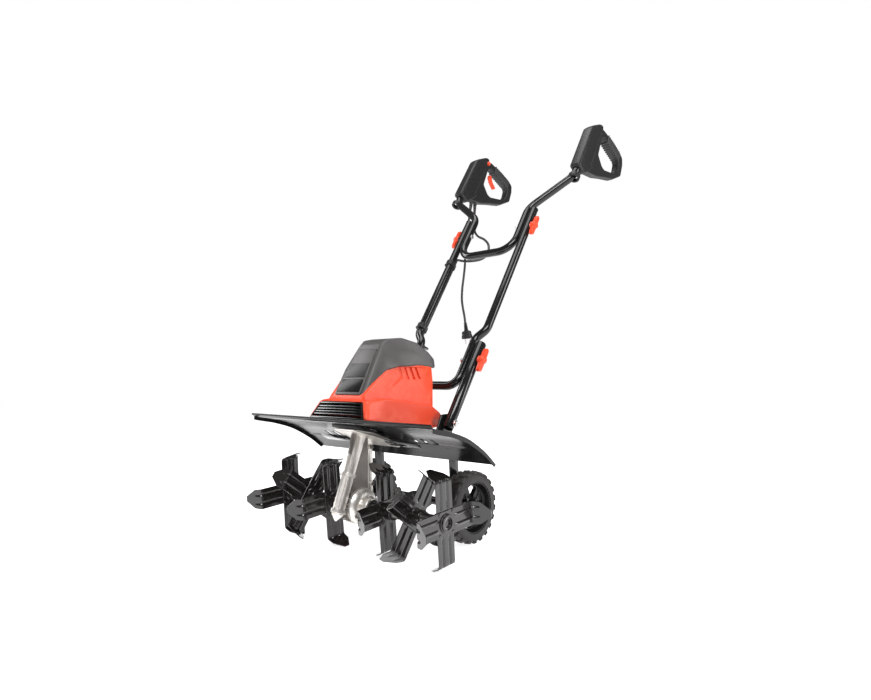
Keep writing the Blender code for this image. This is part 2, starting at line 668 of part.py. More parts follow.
def make_wheels():
    y, z = WHEEL_CENTRE.yz
    width = WHEEL_X[1] - WHEEL_X[0]
    rim_r = 0.056
    for side, sign in (("left", 1), ("right", -1)):
        start = (sign * WHEEL_X[0], y, z)
        tyre = [(0.0, rim_r + GAP), (0.0, WHEEL_R - 0.008), (0.006, WHEEL_R), (width - 0.006, WHEEL_R),
                (width, WHEEL_R - 0.008), (width, rim_r + GAP)]
        finish("tyre_" + side, turned(start, (sign, 0, 0), tyre, WHEEL_SIDES), RUBBER,
               (sign * WHEEL_X[0], y, z))
        hub = 0.014
        rim = [(0.0, AXLE_R + GAP), (0.0, hub), (0.014, hub + 0.001), (0.014, rim_r - 0.006),
               (0.001, rim_r - 0.005), (0.001, rim_r), (width - 0.001, rim_r),
               (width - 0.001, rim_r - 0.005), (0.026, rim_r - 0.006), (0.026, hub + 0.001),
               (width, hub), (width, AXLE_R + GAP)]
        finish("rim_" + side, turned(start, (sign, 0, 0), rim, WHEEL_SIDES), BLACK_PLASTIC,
               (sign * WHEEL_X[0], y, z))


# ---- handles -----------------------------------------------------------------------
def bent_tube(name, corners, bend, origin):
    """A U-shaped tube, open at both ends."""
    obj = finish(name, sweep(filleted(corners, bend), TUBE_R), BLACK_GLOSS, origin, 50)
    longer = [corners[0] + (corners[0] - corners[1]).normalized() * 0.01] + corners[1:-1]
    longer.append(corners[-1] + (corners[-1] - corners[-2]).normalized() * 0.01)
    combine(obj, cutter(name + "_bore_cut", sweep(filleted(longer, bend), TUBE_R - TUBE_WALL)),
            "DIFFERENCE")
    return obj


def make_handles():
    mid = [on_handle(x, s) for x, s in (
        (TUBE_X, MID_TOP), (TUBE_X, JOG[1]), (INNER_MID_X, JOG[0]), (INNER_MID_X, LOW_CROSS),
        (-INNER_MID_X, LOW_CROSS), (-INNER_MID_X, JOG[0]), (-TUBE_X, JOG[1]), (-TUBE_X, MID_TOP))]
    middle = bent_tube("middle_handle", mid, 0.030, on_handle(0, LOW_KNOB))
    top = [on_handle(x, s) for x, s in (
        (GRIP_X, TUBE_END), (GRIP_X, 0.790), (INNER_UP_X, 0.690), (INNER_UP_X, UP_CROSS),
        (-INNER_UP_X, UP_CROSS), (-INNER_UP_X, 0.690), (-GRIP_X, 0.790), (-GRIP_X, TUBE_END))]
    upper = bent_tube("upper_handle", top, 0.032, on_handle(0, UP_KNOB))
    for side, sign in (("left", 1), ("right", -1)):
        for name, along, inner_x in (("lower", LOW_KNOB, INNER_MID_X), ("upper", UP_KNOB, INNER_UP_X)):
            spot = on_handle(0, along)
            hole = cutter("knob_hole_%s_%s_cut" % (name, side),
                          rod((sign * 0.07, spot.y, spot.z), (sign * 0.14, spot.y, spot.z), 0.0035, 12))
            combine(middle, hole, "DIFFERENCE")
            if name == "upper":
                combine(upper, hole, "DIFFERENCE")
            outer_r = LOW_TUBE_R if name == "lower" else TUBE_R
            make_knob(name, side, sign, spot, inner_x - TUBE_R - 0.0005, TUBE_X + outer_r + 0.0006)


def make_knob(name, side, sign, spot, head_x, wing_x):
    """A wing knob with its screw through both tubes and a round nut on the inner side."""
    y, z = spot.yz
    screw = [(0, 0), (0, 0.0065), (0.0045, 0.0065), (0.0045, 0.003)]
    reach = wing_x - head_x + 0.0045
    screw += [(reach, 0.003), (reach, 0.0095), (reach + 0.004, 0.0105), (reach + 0.017, 0.009),
              (reach + 0.020, 0.006), (reach + 0.020, 0)]
    knob = finish("knob_%s_%s" % (name, side),
                  turned((sign * (head_x - 0.0045), y, z), (sign, 0, 0), screw, 16), RED,
                  (sign * TUBE_X, y, z))
    wing = bmesh.new()
    half_long = 0.031
    centre = Vector((0, y, z))
    rows = []
    for depth, half_wide in ((0.007, 0.0065), (0.016, 0.0050)):
        x = sign * (wing_x + depth)
        row = []
        for a, b in ((-1, -0.75), (-0.75, -1), (0.75, -1), (1, -0.75), (1, 0.75), (0.75, 1),
                     (-0.75, 1), (-1, 0.75)):
            spot_yz = centre + ALONG * half_long * a + BACK * half_wide * b
            row.append(wing.verts.new((x, spot_yz.y, spot_yz.z)))
        rows.append(row)
    wing.faces.new(rows[0])
    wing.faces.new(rows[1][::-1])
    for i in range(8):
        j = (i + 1) % 8
        wing.faces.new((rows[0][i], rows[0][j], rows[1][j], rows[1][i]))
    combine(knob, cutter("knob_wing_%s_%s_join" % (name, side), wing), "UNION")


# ---- loop grips and switch ------------------------------------------------------------
GRIP_OUTLINE = [(0.642, 0.929), (0.735, 1.057), (0.758, 1.068), (0.796, 1.082), (0.822, 1.081),
                (0.832, 1.069), (0.890, 1.048), (0.940, 1.021), (0.949, 1.013), (0.946, 0.990),
                (0.929, 0.954), (0.870, 0.932), (0.807, 0.925), (0.757, 0.917), (0.697, 0.917),
                (0.674, 0.906)]
GRIP_HOLE = [(0.782, 0.985), (0.800, 0.960), (0.814, 0.954), (0.884, 0.957), (0.897, 0.990),
             (0.858, 1.012), (0.822, 1.036), (0.809, 1.035)]
GRIP_HALF = 0.0165
BUTTON = Vector((0.0, 0.797, 1.0585))
TRIGGER_PIVOT = Vector((0.0, 0.826, 1.0235))


def make_grips():
    for side, sign in (("left", 1), ("right", -1)):
        x0 = sign * GRIP_X - GRIP_HALF
        grip = finish("grip_" + side, plate(GRIP_OUTLINE, x0, x0 + 2 * GRIP_HALF), BLACK_PLASTIC)
        hole = plate(GRIP_HOLE, x0 - 0.01, x0 + 2 * GRIP_HALF + 0.01)
        combine(grip, cutter("grip_hole_%s_cut" % side, hole), "DIFFERENCE")
        bore = rod(on_handle(sign * GRIP_X, 0.78), on_handle(sign * GRIP_X, TUBE_END + 0.001),
                   TUBE_R + GAP + 0.0002, 16)
        combine(grip, cutter("grip_bore_%s_cut" % side, bore), "DIFFERENCE")
        if sign < 0:
            face = -GRIP_X + GRIP_HALF
            well = rod((face - 0.010, *BUTTON.yz), (face + 0.01, *BUTTON.yz), 0.0068, 14)
            combine(grip, cutter("button_well_cut", well), "DIFFERENCE")
            button = [(0, 0), (0, 0.0062), (0.010, 0.0062), (0.0125, 0.0045), (0.0135, 0)]
            finish("lock_button", turned((face - 0.0052, *BUTTON.yz), (1, 0, 0), button, 14), RED,
                   (face - 0.0052, *BUTTON.yz))
            make_trigger()


def make_trigger():
    outline = [(0.8245, 1.0290), (0.8310, 1.0235), (0.8330, 1.0100), (0.8500, 0.9880),
               (0.8440, 0.9830), (0.8260, 1.0050), (0.8200, 1.0200)]
    finish("switch_trigger", plate(outline, -GRIP_X - 0.0065, -GRIP_X + 0.0065), RED,
           (-GRIP_X, *TRIGGER_PIVOT.yz))


# ---- leads and plug ---------------------------------------------------------------------
MAINS_EXIT = Vector((-0.200, 0.7085, 0.9148))
MAINS_DIR = Vector((0.0, -0.27, -0.96)).normalized()
MOTOR_EXIT = Vector((-0.2105, 0.742, 0.9157))
MOTOR_DIR = Vector((0.0, -0.12, -0.99)).normalized()
GLAND_LONG = 0.032
PLUG_TOP = Vector((-0.2000, 0.6545, 0.5180))
PLUG_DIR = Vector((0.0, 0.16, -1.0)).normalized()
HOUSING_GLAND = Vector((-0.030, 0.1770, 0.352))
HOUSING_DIR = Vector((0.0, 0.94, 0.34)).normalized()
HOUSING_GLAND_LONG = 0.0205
CLIPS = {"upper": 0.515, "lower": 0.288}
LEAD_BACK = TUBE_R + LEAD_R + 0.0006


def leaving(exit_point, direction, length):
    """The first points of a lead that comes straight out of a gland."""
    return [exit_point + direction * (length + d) for d in (GAP, 0.0203, 0.0320)]


MAINS_ROUTE = leaving(MAINS_EXIT, MAINS_DIR, GLAND_LONG) + [
    (-0.200, 0.6790, 0.833), (-0.200, 0.667, 0.796), (-0.200, 0.662, 0.752), (-0.200, 0.664, 0.714),
    (-0.200, 0.655, 0.668), (-0.200, 0.645, 0.628), (-0.200, 0.641, 0.592), (-0.200, 0.645, 0.564),
    PLUG_TOP - PLUG_DIR * 0.024, PLUG_TOP]


def make_leads():
    for name, point, direction, length in (
            ("mains_gland", MAINS_EXIT, MAINS_DIR, GLAND_LONG),
            ("motor_gland", MOTOR_EXIT, MOTOR_DIR, GLAND_LONG),
            ("housing_gland", HOUSING_GLAND, HOUSING_DIR, HOUSING_GLAND_LONG)):
        finish(name, rod(point, point + direction * length, 0.0062, 12), RUBBER)
    cord("mains_lead", MAINS_ROUTE, LEAD_R)
    x = -TUBE_X
    upper = leaving(MOTOR_EXIT, MOTOR_DIR, GLAND_LONG) + [
        (-0.203, 0.724, 0.836), (-0.182, 0.700, 0.812), (-0.150, 0.672, 0.790),
        (-0.100, 0.634, 0.768), (-0.062, 0.602, 0.742), (-0.050, 0.580, 0.712),
        (-0.058, 0.560, 0.695), (-0.080, 0.542, 0.690), on_handle(-0.104, 0.553, 0.030),
        on_handle(x, 0.546, 0.0165), on_handle(x, 0.532, LEAD_BACK),
        on_handle(x, CLIPS["upper"], LEAD_BACK)]
    cord("motor_lead_upper", upper, LEAD_R)
    middle = [on_handle(x, CLIPS["upper"] - 0.004, LEAD_BACK), on_handle(x, 0.45, LEAD_BACK),
              on_handle(x, 0.37, LEAD_BACK), on_handle(x, CLIPS["lower"] + 0.002, LEAD_BACK)]
    cord("motor_lead_middle", middle, LEAD_R)
    lower = [on_handle(x, CLIPS["lower"] - 0.002, LEAD_BACK), on_handle(x, 0.266, LEAD_BACK),
             on_handle(-0.108, 0.250, 0.0185), on_handle(-0.090, 0.232, 0.021),
             on_handle(-0.071, 0.222, 0.012), on_handle(-0.061, 0.212, -0.006),
             on_handle(-0.054, 0.195, -0.024), (-0.044, 0.252, 0.403)]
    cord("motor_lead_lower", lower + leaving(HOUSING_GLAND, HOUSING_DIR, HOUSING_GLAND_LONG)[::-1],
         LEAD_R)
    for name, along in CLIPS.items():
        start = on_handle(x, along - 0.008)
        profile = [(0, TUBE_R + GAP), (0, TUBE_R + 0.0035), (0.016, TUBE_R + 0.0035),
                   (0.016, TUBE_R + GAP)]
        clip = finish("lead_clip_" + name, turned(start, ALONG, profile, 16), BLACK_PLASTIC)
        eye = rod(on_handle(x, along - 0.0078, LEAD_BACK), on_handle(x, along + 0.0078, LEAD_BACK),
                  LEAD_R + 0.0022, 12)
        combine(clip, cutter("clip_eye_%s_join" % name, eye), "UNION")
        through = rod(on_handle(x, along - 0.02, LEAD_BACK), on_handle(x, along + 0.02, LEAD_BACK),
                      LEAD_R + GAP + 0.0002, 12)
        combine(clip, cutter("clip_eye_%s_cut" % name, through), "DIFFERENCE")
        tube = rod(on_handle(x, along - 0.02), on_handle(x, along + 0.02), TUBE_R + GAP, 16)
        combine(clip, cutter("clip_tube_%s_cut" % name, tube), "DIFFERENCE")
    make_plug()


def make_plug():
    down = PLUG_DIR
    top = PLUG_TOP + down * GAP
    profile = [(0, 0), (0, 0.0050), (0.026, 0.0075), (0.027, 0.0150), (0.046, 0.0180),
               (0.050, 0.0180), (0.050, 0)]
    plug = finish("mains_plug", turned(top, down, profile, 16), RUBBER)
    for i, offset in enumerate((-0.0095, 0.0095)):
        start = top + Vector((offset, 0, 0)) + down * 0.045
        pin = rod(start, start + down * 0.024, 0.0024, 10)
        combine(plug, cutter("plug_pin_%d_join" % (i + 1), pin), "UNION")


make_fender()
make_housing()
make_gear_case()
make_tines()
make_motor()
make_brackets()
make_carrier()
make_wheels()
make_handles()
make_grips()
make_leads()
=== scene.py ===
# %% [markdown]
# # An electric garden tiller
# This machine chops soil with six rotating stars of blades. A motor under a
# grey and red hood drives them through a slim gear case, a wide black plate
# keeps the soil down, and a folding handle leans back over two small wheels.
# The measured model is loaded first, and every piece made here takes its
# place from it.

# %% Load the measured model
import math
import bpy
from mathutils import Vector, Matrix


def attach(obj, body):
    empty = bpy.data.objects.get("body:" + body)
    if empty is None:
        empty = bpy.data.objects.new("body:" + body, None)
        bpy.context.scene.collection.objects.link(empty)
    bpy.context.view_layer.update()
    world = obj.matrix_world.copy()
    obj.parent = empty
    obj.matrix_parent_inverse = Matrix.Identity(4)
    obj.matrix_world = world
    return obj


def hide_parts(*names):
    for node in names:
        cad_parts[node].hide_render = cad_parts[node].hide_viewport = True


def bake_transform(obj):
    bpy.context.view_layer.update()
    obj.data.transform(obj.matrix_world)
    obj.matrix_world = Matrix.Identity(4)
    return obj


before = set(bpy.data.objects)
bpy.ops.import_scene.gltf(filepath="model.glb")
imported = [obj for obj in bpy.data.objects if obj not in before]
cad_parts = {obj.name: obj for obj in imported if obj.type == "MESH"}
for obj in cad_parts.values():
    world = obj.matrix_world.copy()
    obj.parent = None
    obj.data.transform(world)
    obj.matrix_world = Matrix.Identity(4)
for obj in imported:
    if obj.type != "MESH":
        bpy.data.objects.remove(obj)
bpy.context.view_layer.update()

# %% [markdown]
# Sizes are easiest to think of from the tine shaft, because everything on a
# tiller is laid out from it. The loaded model is centred on its footprint
# instead, so one small function moves a point from the first way to the
# second. The handle has its own direction too: along it, and square behind it.

# %% Where things are
SHAFT_TO_MIDDLE = 0.42525
SHAFT_HEIGHT = 0.0985
LEAN = math.radians(36)
ALONG = Vector((0, math.sin(LEAN), math.cos(LEAN)))
BEHIND = Vector((0, math.cos(LEAN), -math.sin(LEAN)))
LEFT = Vector((1, 0, 0))


def place(x, y, z):
    return Vector((x, y - SHAFT_TO_MIDDLE, z))


def on_handle(x, along, behind=0.0):
    return place(x, 0.180, 0.262) + ALONG * along + BEHIND * behind


print("grip height", round(on_handle(0, 0.925).z, 3))

# %% [markdown]
# ## Camera and light
# A camera close to the machine, a little above the deck and aimed almost
# level, gives the strong perspective of a catalogue view. Its direction is
# written as a matrix, because the machine is seen with a slight roll. The
# floor and the surroundings are plain white, and the lamps are big soft
# panels, which give long clean streaks on gloss paint.

# %% Camera
bpy.ops.object.select_all(action="DESELECT")
bpy.ops.object.camera_add(location=place(0.978, -0.8691, 0.4166))
camera = bpy.context.object
right = Vector((0.75827, 0.65111, -0.03298))
up = Vector((0.03091, 0.01463, 0.99942))
ahead = Vector((-0.65121, 0.75885, 0.00903))
turned_to = Matrix((right, up, -ahead)).transposed()
camera.rotation_euler = turned_to.to_euler()
camera.data.sensor_width = 36
camera.data.lens = 24.79
camera.data.clip_start = 0.05
bpy.context.scene.camera = camera
print("lens", camera.data.lens)

# %% Floor, surroundings and lamps
world = bpy.data.worlds.new("white room")
world.use_nodes = True
bpy.context.scene.world = world
nodes = world.node_tree.nodes
links = world.node_tree.links
background = nodes["Background"]
background.inputs["Color"].default_value = (1.0, 1.0, 1.0, 1)
background.inputs["Strength"].default_value = 0.17
bright = nodes.new("ShaderNodeBackground")
bright.inputs["Color"].default_value = (1.0, 1.0, 1.0, 1)
bright.inputs["Strength"].default_value = 1.0
seen = nodes.new("ShaderNodeLightPath")
choose = nodes.new("ShaderNodeMixShader")
links.new(seen.outputs["Is Camera Ray"], choose.inputs["Fac"])
links.new(background.outputs["Background"], choose.inputs[1])
links.new(bright.outputs["Background"], choose.inputs[2])
links.new(choose.outputs["Shader"], nodes["World Output"].inputs["Surface"])

bpy.ops.mesh.primitive_plane_add(size=14, location=(0, 0, 0))
floor = bpy.context.object
floor.name = "floor"
floor_paint = bpy.data.materials.new("white floor")
floor_paint.use_nodes = True
shader = floor_paint.node_tree.nodes["Principled BSDF"]
shader.inputs["Base Color"].default_value = (0.86, 0.86, 0.86, 1)
shader.inputs["Roughness"].default_value = 0.75
shader.inputs["Specular IOR Level"].default_value = 0.15
shader.inputs["Emission Color"].default_value = (1, 1, 1, 1)
shader.inputs["Emission Strength"].default_value = 0.84
floor.data.materials.append(floor_paint)


def lamp(name, where, towards, width, height, power):
    bpy.ops.object.select_all(action="DESELECT")
    bpy.ops.object.light_add(type="AREA", location=where)
    light = bpy.context.object
    light.name = name
    light.data.shape = "RECTANGLE"
    light.data.size = width
    light.data.size_y = height
    light.data.energy = power
    light.rotation_euler = (Vector(towards) - Vector(where)).to_track_quat("-Z", "Y").to_euler()
    return light


lamp("high front panel", (1.3, -1.9, 2.3), (0, -0.1, 0.3), 1.6, 1.0, 62)
lamp("left side panel", (2.4, 0.9, 1.2), (0, 0.0, 0.45), 0.7, 2.0, 38)
lamp("right side panel", (-2.2, -0.9, 1.5), (0, -0.1, 0.4), 0.8, 2.0, 34)
lamp("overhead panel", (0.1, 0.0, 3.0), (0, 0, 0), 1.8, 1.8, 42)
bpy.context.scene.view_settings.view_transform = "Standard"
print("lamps set")

# %% [markdown]
# ## Finishes
# Nothing on a real machine is one even colour. Moulded plastic has a fine
# grain, gloss paint has a faint ripple, castings are mottled, and everything
# is a little duller where dust settles and paler where edges are rubbed. These
# three effects are wanted in many materials, so each is a node group, built
# once and used with different amounts.

# %% A helper for node groups
def new_group(name, inputs, outputs):
    group = bpy.data.node_groups.new(name, "ShaderNodeTree")
    for label, kind, value in inputs:
        socket = group.interface.new_socket(name=label, in_out="INPUT", socket_type=kind)
        if value is not None:
            socket.default_value = value
    for label, kind in outputs:
        group.interface.new_socket(name=label, in_out="OUTPUT", socket_type=kind)
    start = group.nodes.new("NodeGroupInput")
    end = group.nodes.new("NodeGroupOutput")
    return group, start, end


def join(tree, source, target):
    tree.links.new(source, target)


def add_node(tree, kind, **values):
    """A new node; a word such as From_Min sets the socket "From Min"."""
    node = tree.nodes.new(kind)
    for label, value in values.items():
        node.inputs[label.replace("_", " ")].default_value = value
    return node


def noise(tree, scale, detail):
    where = tree.nodes.new("ShaderNodeTexCoord")
    cloud = add_node(tree, "ShaderNodeTexNoise", Scale=scale, Detail=detail)
    join(tree, where.outputs["Object"], cloud.inputs["Vector"])
    return cloud


def product(tree, first, second):
    node = tree.nodes.new("ShaderNodeMath")
    node.operation = "MULTIPLY"
    join(tree, first, node.inputs[0])
    join(tree, second, node.inputs[1])
    return node.outputs[0]


def tinted(tree, share, plain, other):
    node = tree.nodes.new("ShaderNodeMix")
    node.data_type = "RGBA"
    join(tree, share, node.inputs["Factor"])
    join(tree, plain, node.inputs["A"])
    join(tree, other, node.inputs["B"])
    return node.outputs["Result"]


# %% Grain: fine bumps and the uneven shine that goes with them
grain, start, end = new_group(
    "moulded grain",
    [("Size", "NodeSocketFloat", 900.0), ("Shine", "NodeSocketFloat", 0.4),
     ("Unevenness", "NodeSocketFloat", 0.08)],
    [("Height", "NodeSocketFloat"), ("Roughness", "NodeSocketFloat")])
fine = noise(grain, 900.0, 2.0)
join(grain, start.outputs["Size"], fine.inputs["Scale"])
broad = noise(grain, 14.0, 4.0)
centred = grain.nodes.new("ShaderNodeMath")
centred.operation = "SUBTRACT"
centred.inputs[1].default_value = 0.5
join(grain, broad.outputs["Fac"], centred.inputs[0])
amount = grain.nodes.new("ShaderNodeMath")
amount.operation = "MULTIPLY_ADD"
join(grain, centred.outputs[0], amount.inputs[0])
join(grain, start.outputs["Unevenness"], amount.inputs[1])
join(grain, start.outputs["Shine"], amount.inputs[2])
join(grain, fine.outputs["Fac"], end.inputs["Height"])
join(grain, amount.outputs[0], end.inputs["Roughness"])
print("grain group has", len(grain.nodes), "nodes")

# %% Wear: a paler colour on sharp edges, broken up by noise
wear, start, end = new_group(
    "rubbed edges",
    [("Colour", "NodeSocketColor", (0.5, 0.5, 0.5, 1)), ("Rubbed", "NodeSocketColor", (0.7, 0.7, 0.7, 1)),
     ("Amount", "NodeSocketFloat", 0.5)],
    [("Colour", "NodeSocketColor"), ("Mask", "NodeSocketFloat")])
shape = wear.nodes.new("ShaderNodeNewGeometry")
edge = add_node(wear, "ShaderNodeMapRange", From_Min=0.52, From_Max=0.62)
join(wear, shape.outputs["Pointiness"], edge.inputs["Value"])
patchy = noise(wear, 60.0, 5.0)
broken = add_node(wear, "ShaderNodeMapRange", From_Min=0.42, From_Max=0.62)
join(wear, patchy.outputs["Fac"], broken.inputs["Value"])
both = product(wear, edge.outputs["Result"], broken.outputs["Result"])
mask = product(wear, both, start.outputs["Amount"])
join(wear, tinted(wear, mask, start.outputs["Colour"], start.outputs["Rubbed"]), end.inputs["Colour"])
join(wear, mask, end.inputs["Mask"])
print("wear group has", len(wear.nodes), "nodes")

# %% Dust: a soft pale film, thicker on faces that look up
dust, start, end = new_group(
    "settled dust",
    [("Colour", "NodeSocketColor", (0.5, 0.5, 0.5, 1)), ("Dust", "NodeSocketColor", (0.35, 0.32, 0.28, 1)),
     ("Amount", "NodeSocketFloat", 0.1)],
    [("Colour", "NodeSocketColor")])
shape = dust.nodes.new("ShaderNodeNewGeometry")
facing = dust.nodes.new("ShaderNodeSeparateXYZ")
join(dust, shape.outputs["Normal"], facing.inputs["Vector"])
flat = add_node(dust, "ShaderNodeMapRange", From_Min=-0.3, From_Max=1.0, To_Min=0.25)
join(dust, facing.outputs["Z"], flat.inputs["Value"])
cloud = noise(dust, 9.0, 6.0)
film = product(dust, flat.outputs["Result"], cloud.outputs["Fac"])
share = product(dust, film, start.outputs["Amount"])
join(dust, tinted(dust, share, start.outputs["Colour"], start.outputs["Dust"]), end.inputs["Colour"])
print("dust group has", len(dust.nodes), "nodes")

# %% [markdown]
# Each finish is one Principled shader fed by the three groups. Its coat, metal
# and bump depth are plain numbers on the shader, and the groups only vary
# colour and roughness over the surface.

# %% Making a finish
def finish(name, colour, rubbed, shine, uneven=0.08, metal=0.0, grain_size=900.0, depth=0.05,
           worn=0.35, dusty=0.08, coat=0.0, level=0.5):
    paint = bpy.data.materials.new(name)
    paint.use_nodes = True
    tree = paint.node_tree
    shader = tree.nodes["Principled BSDF"]
    shader.inputs["Metallic"].default_value = metal
    shader.inputs["Coat Weight"].default_value = coat
    shader.inputs["Coat Roughness"].default_value = 0.06
    shader.inputs["Specular IOR Level"].default_value = level
    surface = tree.nodes.new("ShaderNodeGroup")
    surface.node_tree = grain
    surface.inputs["Size"].default_value = grain_size
    surface.inputs["Shine"].default_value = shine
    surface.inputs["Unevenness"].default_value = uneven
    edges = tree.nodes.new("ShaderNodeGroup")
    edges.node_tree = wear
    edges.inputs["Colour"].default_value = (*colour, 1)
    edges.inputs["Rubbed"].default_value = (*rubbed, 1)
    edges.inputs["Amount"].default_value = worn
    film = tree.nodes.new("ShaderNodeGroup")
    film.node_tree = dust
    film.inputs["Amount"].default_value = dusty
    bump = tree.nodes.new("ShaderNodeBump")
    bump.inputs["Strength"].default_value = depth
    bump.inputs["Distance"].default_value = 0.0006
    join(tree, surface.outputs["Height"], bump.inputs["Height"])
    join(tree, bump.outputs["Normal"], shader.inputs["Normal"])
    join(tree, surface.outputs["Roughness"], shader.inputs["Roughness"])
    join(tree, edges.outputs["Colour"], film.inputs["Colour"])
    join(tree, film.outputs["Colour"], shader.inputs["Base Color"])
    return paint


red_shell = finish("red shell plastic", (0.72, 0.060, 0.021), (0.85, 0.14, 0.07), 0.34, grain_size=700,
                   depth=0.10, dusty=0.01, worn=0.3, level=0.28)
grey_hood = finish("grey hood plastic", (0.052, 0.049, 0.048), (0.09, 0.086, 0.084), 0.44,
                   grain_size=800, depth=0.18, dusty=0.05)
black_band = finish("gloss black panel", (0.006, 0.006, 0.006), (0.03, 0.03, 0.03), 0.22, uneven=0.03,
                    depth=0.01, dusty=0.01, level=0.10)
black_shell = finish("black moulded plastic", (0.011, 0.011, 0.0115), (0.045, 0.045, 0.045), 0.38,
                     grain_size=1100, depth=0.15, dusty=0.03, level=0.28)
guard_paint = finish("guard paint", (0.006, 0.006, 0.0062), (0.03, 0.03, 0.03), 0.20, uneven=0.05,
                     grain_size=500, depth=0.03, dusty=0.01, worn=0.2, level=0.22)
# A darker copy of the cast aluminium for the web: its colour is painted shade for the web's recessed place
# behind the column.
shaded_web_casting = finish("web casting with painted shade", (0.24, 0.22, 0.205), (0.60, 0.58, 0.55), 0.44, metal=1.0,
                     grain_size=480, depth=0.22, uneven=0.14, dusty=0.06)
soft_grip = finish("soft grip rubber", (0.013, 0.013, 0.014), (0.04, 0.04, 0.04), 0.55,
                   grain_size=1500, depth=0.25)
gloss_paint = finish("gloss black paint", (0.006, 0.006, 0.0065), (0.03, 0.03, 0.03), 0.13, uneven=0.04,
                     grain_size=240, depth=0.02, coat=0.25, dusty=0.01, worn=0.2, level=0.30)
tine_paint = finish("tine paint", (0.0075, 0.0065, 0.006), (0.05, 0.045, 0.042), 0.20, uneven=0.08,
                    grain_size=320, depth=0.04, coat=0.35, dusty=0.03, worn=0.35)
casting = finish("cast aluminium", (0.76, 0.72, 0.68), (0.88, 0.86, 0.83), 0.34, metal=0.80,
                 grain_size=520, depth=0.16, uneven=0.14, dusty=0.05)
bright_steel = finish("zinc plated steel", (0.62, 0.61, 0.60), (0.8, 0.8, 0.8), 0.26, metal=1.0,
                      grain_size=400, depth=0.04)
dark_steel = finish("oiled steel", (0.16, 0.155, 0.15), (0.5, 0.5, 0.5), 0.34, metal=1.0,
                    grain_size=400, depth=0.06)
tyre_rubber = finish("tyre rubber", (0.011, 0.0105, 0.010), (0.035, 0.033, 0.031), 0.55,
                     grain_size=600, depth=0.30, dusty=0.08, level=0.35)
cord_rubber = finish("cord sheath", (0.011, 0.011, 0.011), (0.03, 0.03, 0.03), 0.45, grain_size=900,
                     depth=0.10)
bronze = finish("gear bronze", (0.55, 0.33, 0.12), (0.8, 0.6, 0.3), 0.32, metal=1.0)
winding = finish("lacquered winding", (0.50, 0.17, 0.05), (0.6, 0.3, 0.1), 0.35, metal=1.0,
                 grain_size=260, depth=0.5)
print(len(bpy.data.materials), "materials")

# %% [markdown]
# ## Helpers for the pieces
# Most parts of a tiller are one of four kinds: a sheet or moulding cut to an
# outline, a turned part, a bent tube, or a hole cut by another shape. Each
# helper does one of these with the operators of the Add and Mesh menus, and
# starts by deselecting everything, because an operator works on all that is
# selected.

# %% Selecting and finishing a piece
def start_clean():
    if bpy.context.object and bpy.context.object.mode != "OBJECT":
        bpy.ops.object.mode_set(mode="OBJECT")
    bpy.ops.object.select_all(action="DESELECT")


def only(obj):
    start_clean()
    obj.select_set(True)
    bpy.context.view_layer.objects.active = obj


def pick_all():
    bpy.ops.object.mode_set(mode="EDIT")
    bpy.ops.mesh.select_all(action="SELECT")


def pull(way):
    """Gives the flat outline that was just drawn a depth."""
    pick_all()
    bpy.ops.mesh.extrude_region_move(TRANSFORM_OT_translate={"value": way})
    bpy.ops.object.mode_set(mode="OBJECT")


def apply_modifier(obj, kind, **settings):
    only(obj)
    modifier = obj.modifiers.new(kind.lower(), kind)
    for key, value in settings.items():
        setattr(modifier, key, value)
    bpy.ops.object.modifier_apply(modifier=modifier.name)


def soften(obj, width, segments=2, angle=28):
    apply_modifier(obj, "BEVEL", width=width, segments=segments, limit_method="ANGLE",
                   angle_limit=math.radians(angle), use_clamp_overlap=True)


def fit_out(obj, name, paint, body, nodes=(), smooth=34):
    """The last step of every piece: name, finish, shading, and the body it moves with."""
    only(obj)
    obj.name = name
    obj.data.name = name
    obj.data.materials.clear()
    obj.data.materials.append(paint)
    bpy.ops.object.shade_smooth_by_angle(angle=math.radians(smooth))
    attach(obj, body)
    if nodes:
        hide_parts(*nodes)
    return obj


# %% A moulding from an outline, with its own half width at each corner
def wedge(outline, middle=0.0):
    """outline: (y, z, half width) round the side view, extruded to both sides of x = middle."""
    start_clean()
    bpy.ops.mesh.primitive_circle_add(vertices=len(outline), fill_type="NGON")
    obj = bpy.context.object
    reach = {}
    for vertex, (y, z, half) in zip(obj.data.vertices, outline):
        vertex.co = place(middle - half, y, z)
        reach[(round(vertex.co.y, 5), round(vertex.co.z, 5))] = half
    pull((4.0, 0, 0))
    for vertex in obj.data.vertices:
        if vertex.co.x > middle + 1.0:
            vertex.co.x = middle + reach[(round(vertex.co.y, 5), round(vertex.co.z, 5))]
    square_up(obj)
    return obj


def square_up(obj):
    only(obj)
    pick_all()
    bpy.ops.mesh.remove_doubles(threshold=0.00001)
    bpy.ops.mesh.normals_make_consistent(inside=False)
    bpy.ops.object.mode_set(mode="OBJECT")


def slab(outline, x0, x1):
    return wedge([(y, z, abs(x1 - x0) / 2) for y, z in outline], (x0 + x1) / 2)


